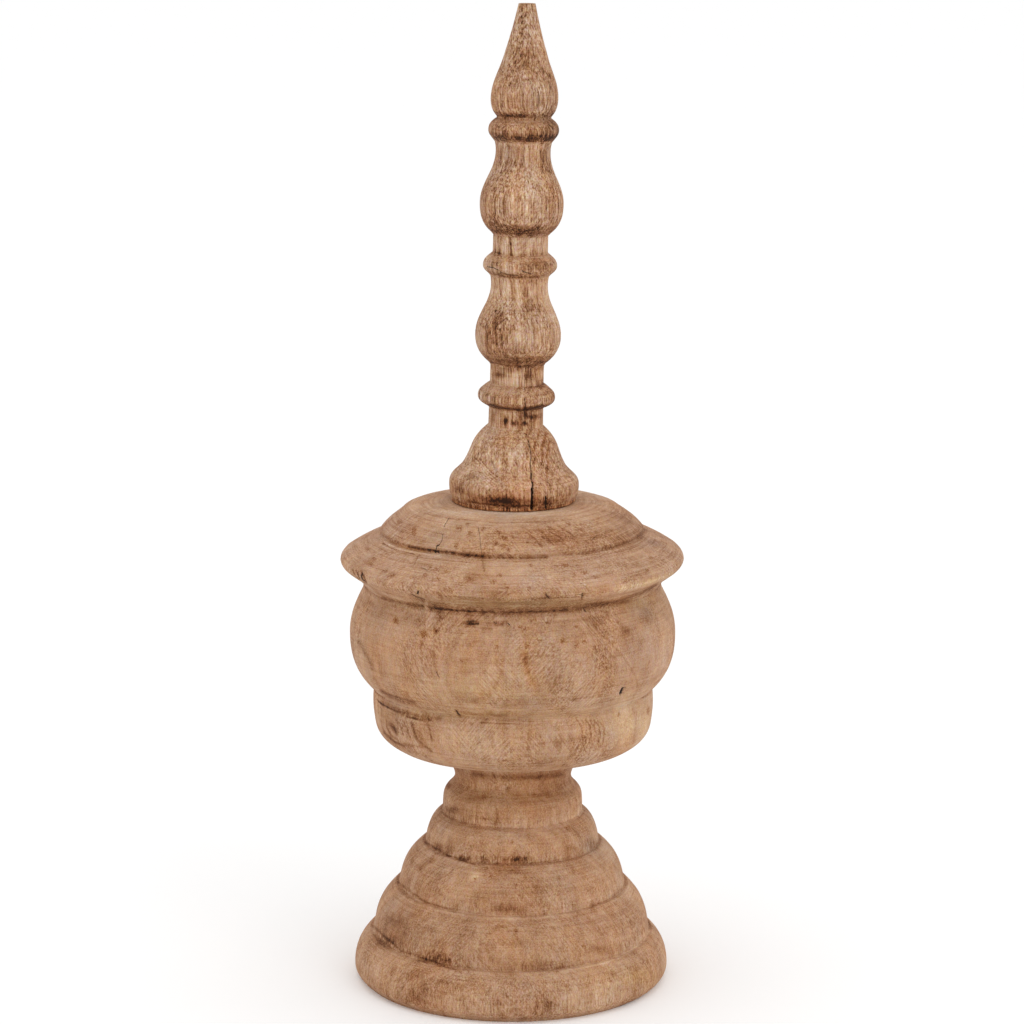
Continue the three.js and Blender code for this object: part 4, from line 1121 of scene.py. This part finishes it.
    # brown streaks at the bell's right
    for pts, wide in (([(546, 433), (543.5, 442.5), (541.5, 449)], 3.0), ([(549.4, 442), (547.6, 450), (546.4, 457)], 2.2), ([(535, 441), (533.6, 452)], 1.8),
                      ([(542.6, 454), (541.4, 464)], 1.6), ([(548.2, 460), (547, 470), (546.6, 478)], 1.8), ([(539, 430), (537.5, 437)], 1.8), ([(527, 430), (526, 436)], 1.4)):
        v = p.line(pts, wide)
        p.add("dirt_and_shade", v, 0.60)
        p.wash(v, (1.02, 0.86, 0.66))
    for u0, w0, a, b, amount in (
            (514, 368, 30, 2.4, 0.25), (458, 488, 4, 6, 0.3),
            (506, 421, 2.4, 4, 0.7), (514.5, 423, 3.2, 3, 0.6), (525, 423, 3.0, 2.4, 0.5),
            (525, 414, 2, 7, 0.6), (500, 375, 7, 5, 0.6), (527, 374, 5, 8, 0.5), (535, 374, 2, 7, 0.5), (494, 373, 2.5, 8, 0.45), (541, 384, 6, 4, 0.4),
            (515, 359, 28, 5, 0.36), (488, 338, 3, 16, 0.55), (496, 325, 5, 20, 0.30), (508, 352, 22, 6, 0.35), (487, 365, 4, 3, 0.3),
            (538, 266, 14, 5.5, 0.62), (494, 262, 5, 5, 0.45), (495, 253, 5, 4, 0.4), (536, 252, 8, 4, 0.35), (500, 240, 6, 6, 0.2), (518, 244, 20, 3, 0.2),
            (515, 232, 24, 6, 0.30), (500, 215, 8, 14, 0.25), (526, 137, 30, 5, 0.5), (515, 116, 30, 3.0, 0.5), (486, 200, 3, 16, 0.25), (520, 104, 26, 6, 0.2)):
        p.add("stain", p.soft(u0, w0, a, b), amount)
    p.add("dirt_and_shade", p.line([(491, 404.5), (504, 408.4), (517, 409.6), (530, 409), (542, 405.6)], 4.0), 0.9)
    p.add("dirt_and_shade", p.soft(532, 416.5, 8, 2.6), 0.75)
    p.add("dirt_and_shade", p.line([(490, 385), (504, 388), (518, 388.6), (543, 386)], 1.3), 0.45)
    p.add("dirt_and_shade", p.line([(491, 361.6), (504, 364.8), (518, 366), (531, 364.8), (543, 361.8)], 2.4), 0.62)
    for low, high, amount in ((520, 533, -0.08), (504, 517, -0.03), (466, 472, -0.115), (453.4, 462.6, 0.11), (440.6, 451.4, 0.055), (424, 436, 0.08),
                              (361.5, 371, -0.05), (386, 392.5, -0.07), (349.5, 356.5, -0.05), (358.8, 362.5, -0.12), (374.5, 382.5, 0.10), (517.6, 519.6, 0.05)):
        p.lift(p.band(low, high), amount)
    p.wash(p.band(440, 449), (0.965, 1.0, 1.05))
    p.wash(p.band(393, 412, 3.0), (1.012, 0.995, 0.98))
    p.wash(p.soft(524, 50, 24, 48), (0.985, 1.0, 1.03))
    p.lift(p.soft(525, 58, 20, 19), -0.205)
    p.lift(p.soft(526, 18, 12, 14), -0.09)
    p.lift(p.soft(520, 200, 30, 18), 0.03)
    p.lift(p.soft(520, 335, 34, 16), -0.02)
    p.lift(p.soft(528, 200, 30, 60), 0.04)
    p.lift(p.soft(518, 84, 22, 40), 0.04)
    p.lift(p.soft(552, 92, 7, 26), -0.06)
    p.lift(p.soft(522, 335, 26, 26), 0.05)
    p.lift(p.soft(550, 330, 12, 30), 0.06)
    p.lift(p.soft(484, 340, 8, 26), -0.03)
    p.lift(p.soft(554, 210, 8, 34), -0.05)
    # dark flecks on the collars under the first and second ring
    for u0, w0, a, b, amount in ((505, 420, 2.6, 3.6, 0.60), (513.5, 423, 3.0, 2.4, 0.70), (524.5, 423, 3.2, 2.2, 0.62), (526, 413.5, 3.2, 4.0, 0.60), (493, 416, 1.8, 5, 0.45),
                                 (500, 374, 4.6, 3.6, 0.55), (526.5, 377, 3.2, 6.0, 0.50), (495, 381, 2.6, 3.0, 0.45), (541, 380, 4, 3.4, 0.45), (512, 371, 6, 1.8, 0.35)):
        p.add("dirt_and_shade", p.soft(u0, w0, a, b), amount)
    # splits
    for pts, width, deep, strength in (
            ([(528.6, 440), (530, 447), (531.6, 455), (530.9, 460), (530.7, 466), (531.8, 472)], 0.8, 0.7, 0.85),
            ([(531.8, 472), (531.2, 478), (532.9, 483), (532.3, 489)], 1.3, 1.3, 0.95),
            ([(532.3, 488), (532.6, 493), (532.4, 499), (531.8, 508.5)], 2.3, 2.4, 1.0),
            ([(546, 496.5), (546.3, 502), (546.0, 507.5)], 1.7, 1.0, 1.0),
            ([(524.6, 375), (524.9, 382), (524.6, 390)], 0.6, 0.2, 0.5), ([(524.6, 398), (524.8, 409), (525.4, 419)], 0.9, 0.4, 0.7),
            ([(487, 266), (493, 268.2), (498, 270)], 1.1, 0.4, 0.8), ([(500, 272), (508, 274.8), (517, 275.5)], 1.2, 0.4, 0.7),
            ([(522, 270.6), (527, 272.8), (531, 273.5)], 1.2, 0.4, 0.75), ([(524, 142), (524.5, 170), (524.2, 205), (524.6, 232)], 0.5, 0.1, 0.35),
            ([(489, 404.5), (498, 407.5), (511, 410)], 1.0, 0.2, 0.75), ([(516, 410.5), (528, 410.5), (544, 407)], 1.2, 0.2, 0.7)):
        p.score(pts, width, deep, strength)
    p.figure(468, 486, 0.020, 0.0036, 0.9, 0.5)
    p.figure(500, 330, 0.012, 0.0030, 0.8, 0.8)
    # small grey knot
    p.wash(p.soft(529.5, 306.5, 3.2, 4.6, 10), (0.80, 0.80, 0.82))
    p.add("dirt_and_shade", np.clip(1.6 * p.soft(529.5, 306.5, 4.2, 5.6, 10) * (1 - p.soft(529.5, 306.5, 2.8, 4.0, 10)), 0, 1), 0.55)
    p.add("dirt_and_shade", p.soft(529.5, 307, 1.2, 1.6), 0.5)
    p.add("pale", p.line([(484, 388.5), (500, 391.6), (515, 392.6), (545, 390.6)], 2.4), 0.75)
    p.add("pale", p.line([(497, 119.5), (515, 121.8), (545, 121.4)], 2.0), 0.7)
    p.add("pale", p.soft(560, 489, 9, 4), 0.7)
    p.add("pale", p.soft(556, 322, 3.5, 12), 0.7)
    p.wash(p.soft(468, 478, 12, 14), (0.93, 0.93, 0.94))
    return p


foot = make_foot()
body = make_body()
spire = make_spire()
foot_wood = wood(foot, "foot_wood", 1, 0.503, 0.36, 0.36, 0.006, 0.70, 0.92, (0.035, 0.170), 0.0042, 0.52, (1.5, -1.0, 0), 0.08, 0.5, 0.32, 1.50)
body_wood = wood(body, "body_wood", 2, 0.512, 0.21, 0.20, 0.005, 0.9, 0.86, (-0.085, 0.105), 0.0050, 0.42, (-2.0, 2.5, 0), 0.12, 0.4, 0.50, 1.55)
spire_wood = wood(spire, "spire_wood", 3, 0.505, 1.84, 0.90, 0.013, 0.9, 0.90, (0.060, -0.035), 0.0034, 1.1, (1.0, 1.6, 0), 0.04, 0.6, 0.45, 2.0, 1.9)
foot.mesh("foot_wood", foot_wood)
body.mesh("body_wood", body_wood)
spire.mesh("spire_wood", spire_wood)

# ------------------------------------------------------------------- stage
floor_mesh = bpy.data.meshes.new("floor")
floor_mesh.from_pydata([(-40, -40, 0), (40, -40, 0), (40, 40, 0), (-40, 40, 0)], [], [(0, 1, 2, 3)])
floor = bpy.data.objects.new("floor", floor_mesh)
bpy.context.scene.collection.objects.link(floor)
floor_nodes = Nodes("pale_floor")
floor_shader = floor_nodes.new("ShaderNodeBsdfPrincipled")
floor_shader.inputs["Base Color"].default_value = (0.95, 0.95, 0.95, 1)
floor_shader.inputs["Emission Color"].default_value = (1.0, 1.0, 1.0, 1)
floor_shader.inputs["Emission Strength"].default_value = 0.05
floor_shader.inputs["Roughness"].default_value = 0.9
floor_shader.inputs["Specular IOR Level"].default_value = 0.1
floor_out = floor_nodes.new("ShaderNodeOutputMaterial")
floor_nodes.tree.links.new(floor_shader.outputs[0], floor_out.inputs[0])
floor_mesh.materials.append(floor_nodes.mat)

world = bpy.data.worlds.new("soft_studio")
world.use_nodes = True
background = world.node_tree.nodes["Background"]
background.inputs[0].default_value = (1.0, 1.0, 1.0, 1)
background.inputs[1].default_value = 1.0
bpy.context.scene.world = world


def softbox(name, at, aim, size, power):
    data = bpy.data.lights.new(name, "AREA")
    data.shape = "SQUARE"
    data.size = size
    data.energy = power
    ob = bpy.data.objects.new(name, data)
    bpy.context.scene.collection.objects.link(ob)
    back = np.array(at, float) - np.array(aim, float)
    back /= np.linalg.norm(back)
    side = np.cross([0, 0, 1], back)
    side /= np.linalg.norm(side)
    over = np.cross(back, side)
    m = Matrix([[side[0], over[0], back[0], at[0]], [side[1], over[1], back[1], at[1]], [side[2], over[2], back[2], at[2]], [0, 0, 0, 1]])
    ob.matrix_world = m
    return ob


softbox("key_softbox", (1.9, -2.2, 2.3), (0, 0, 0.28), 1.6, 12)
softbox("top_softbox", (-0.4, -0.6, 3.0), (0, 0, 0.3), 2.0, 4)

camera_data = bpy.data.cameras.new("camera")
camera_data.sensor_width = 36.0
camera_data.lens = FOCAL / 1024 * 36.0
camera_data.clip_start, camera_data.clip_end = 0.05, 200
camera = bpy.data.objects.new("camera", camera_data)
bpy.context.scene.collection.objects.link(camera)
pixel = CAM_BACK / FOCAL            # millimetres to a pixel at the object
camera.matrix_world = (Matrix.Translation(((CAM_X - NUDGE_X * pixel) / 1000, -CAM_BACK / 1000, (CAM_UP + NUDGE_Y * pixel) / 1000))
                       @ Matrix.Rotation(math.radians(90 - CAM_DOWN), 4, "X") @ Matrix.Rotation(math.radians(CAM_ROLL), 4, "Z"))
bpy.context.scene.camera = camera
bpy.context.scene.view_settings.view_transform = "Standard"
bpy.context.scene.view_settings.look = "None"
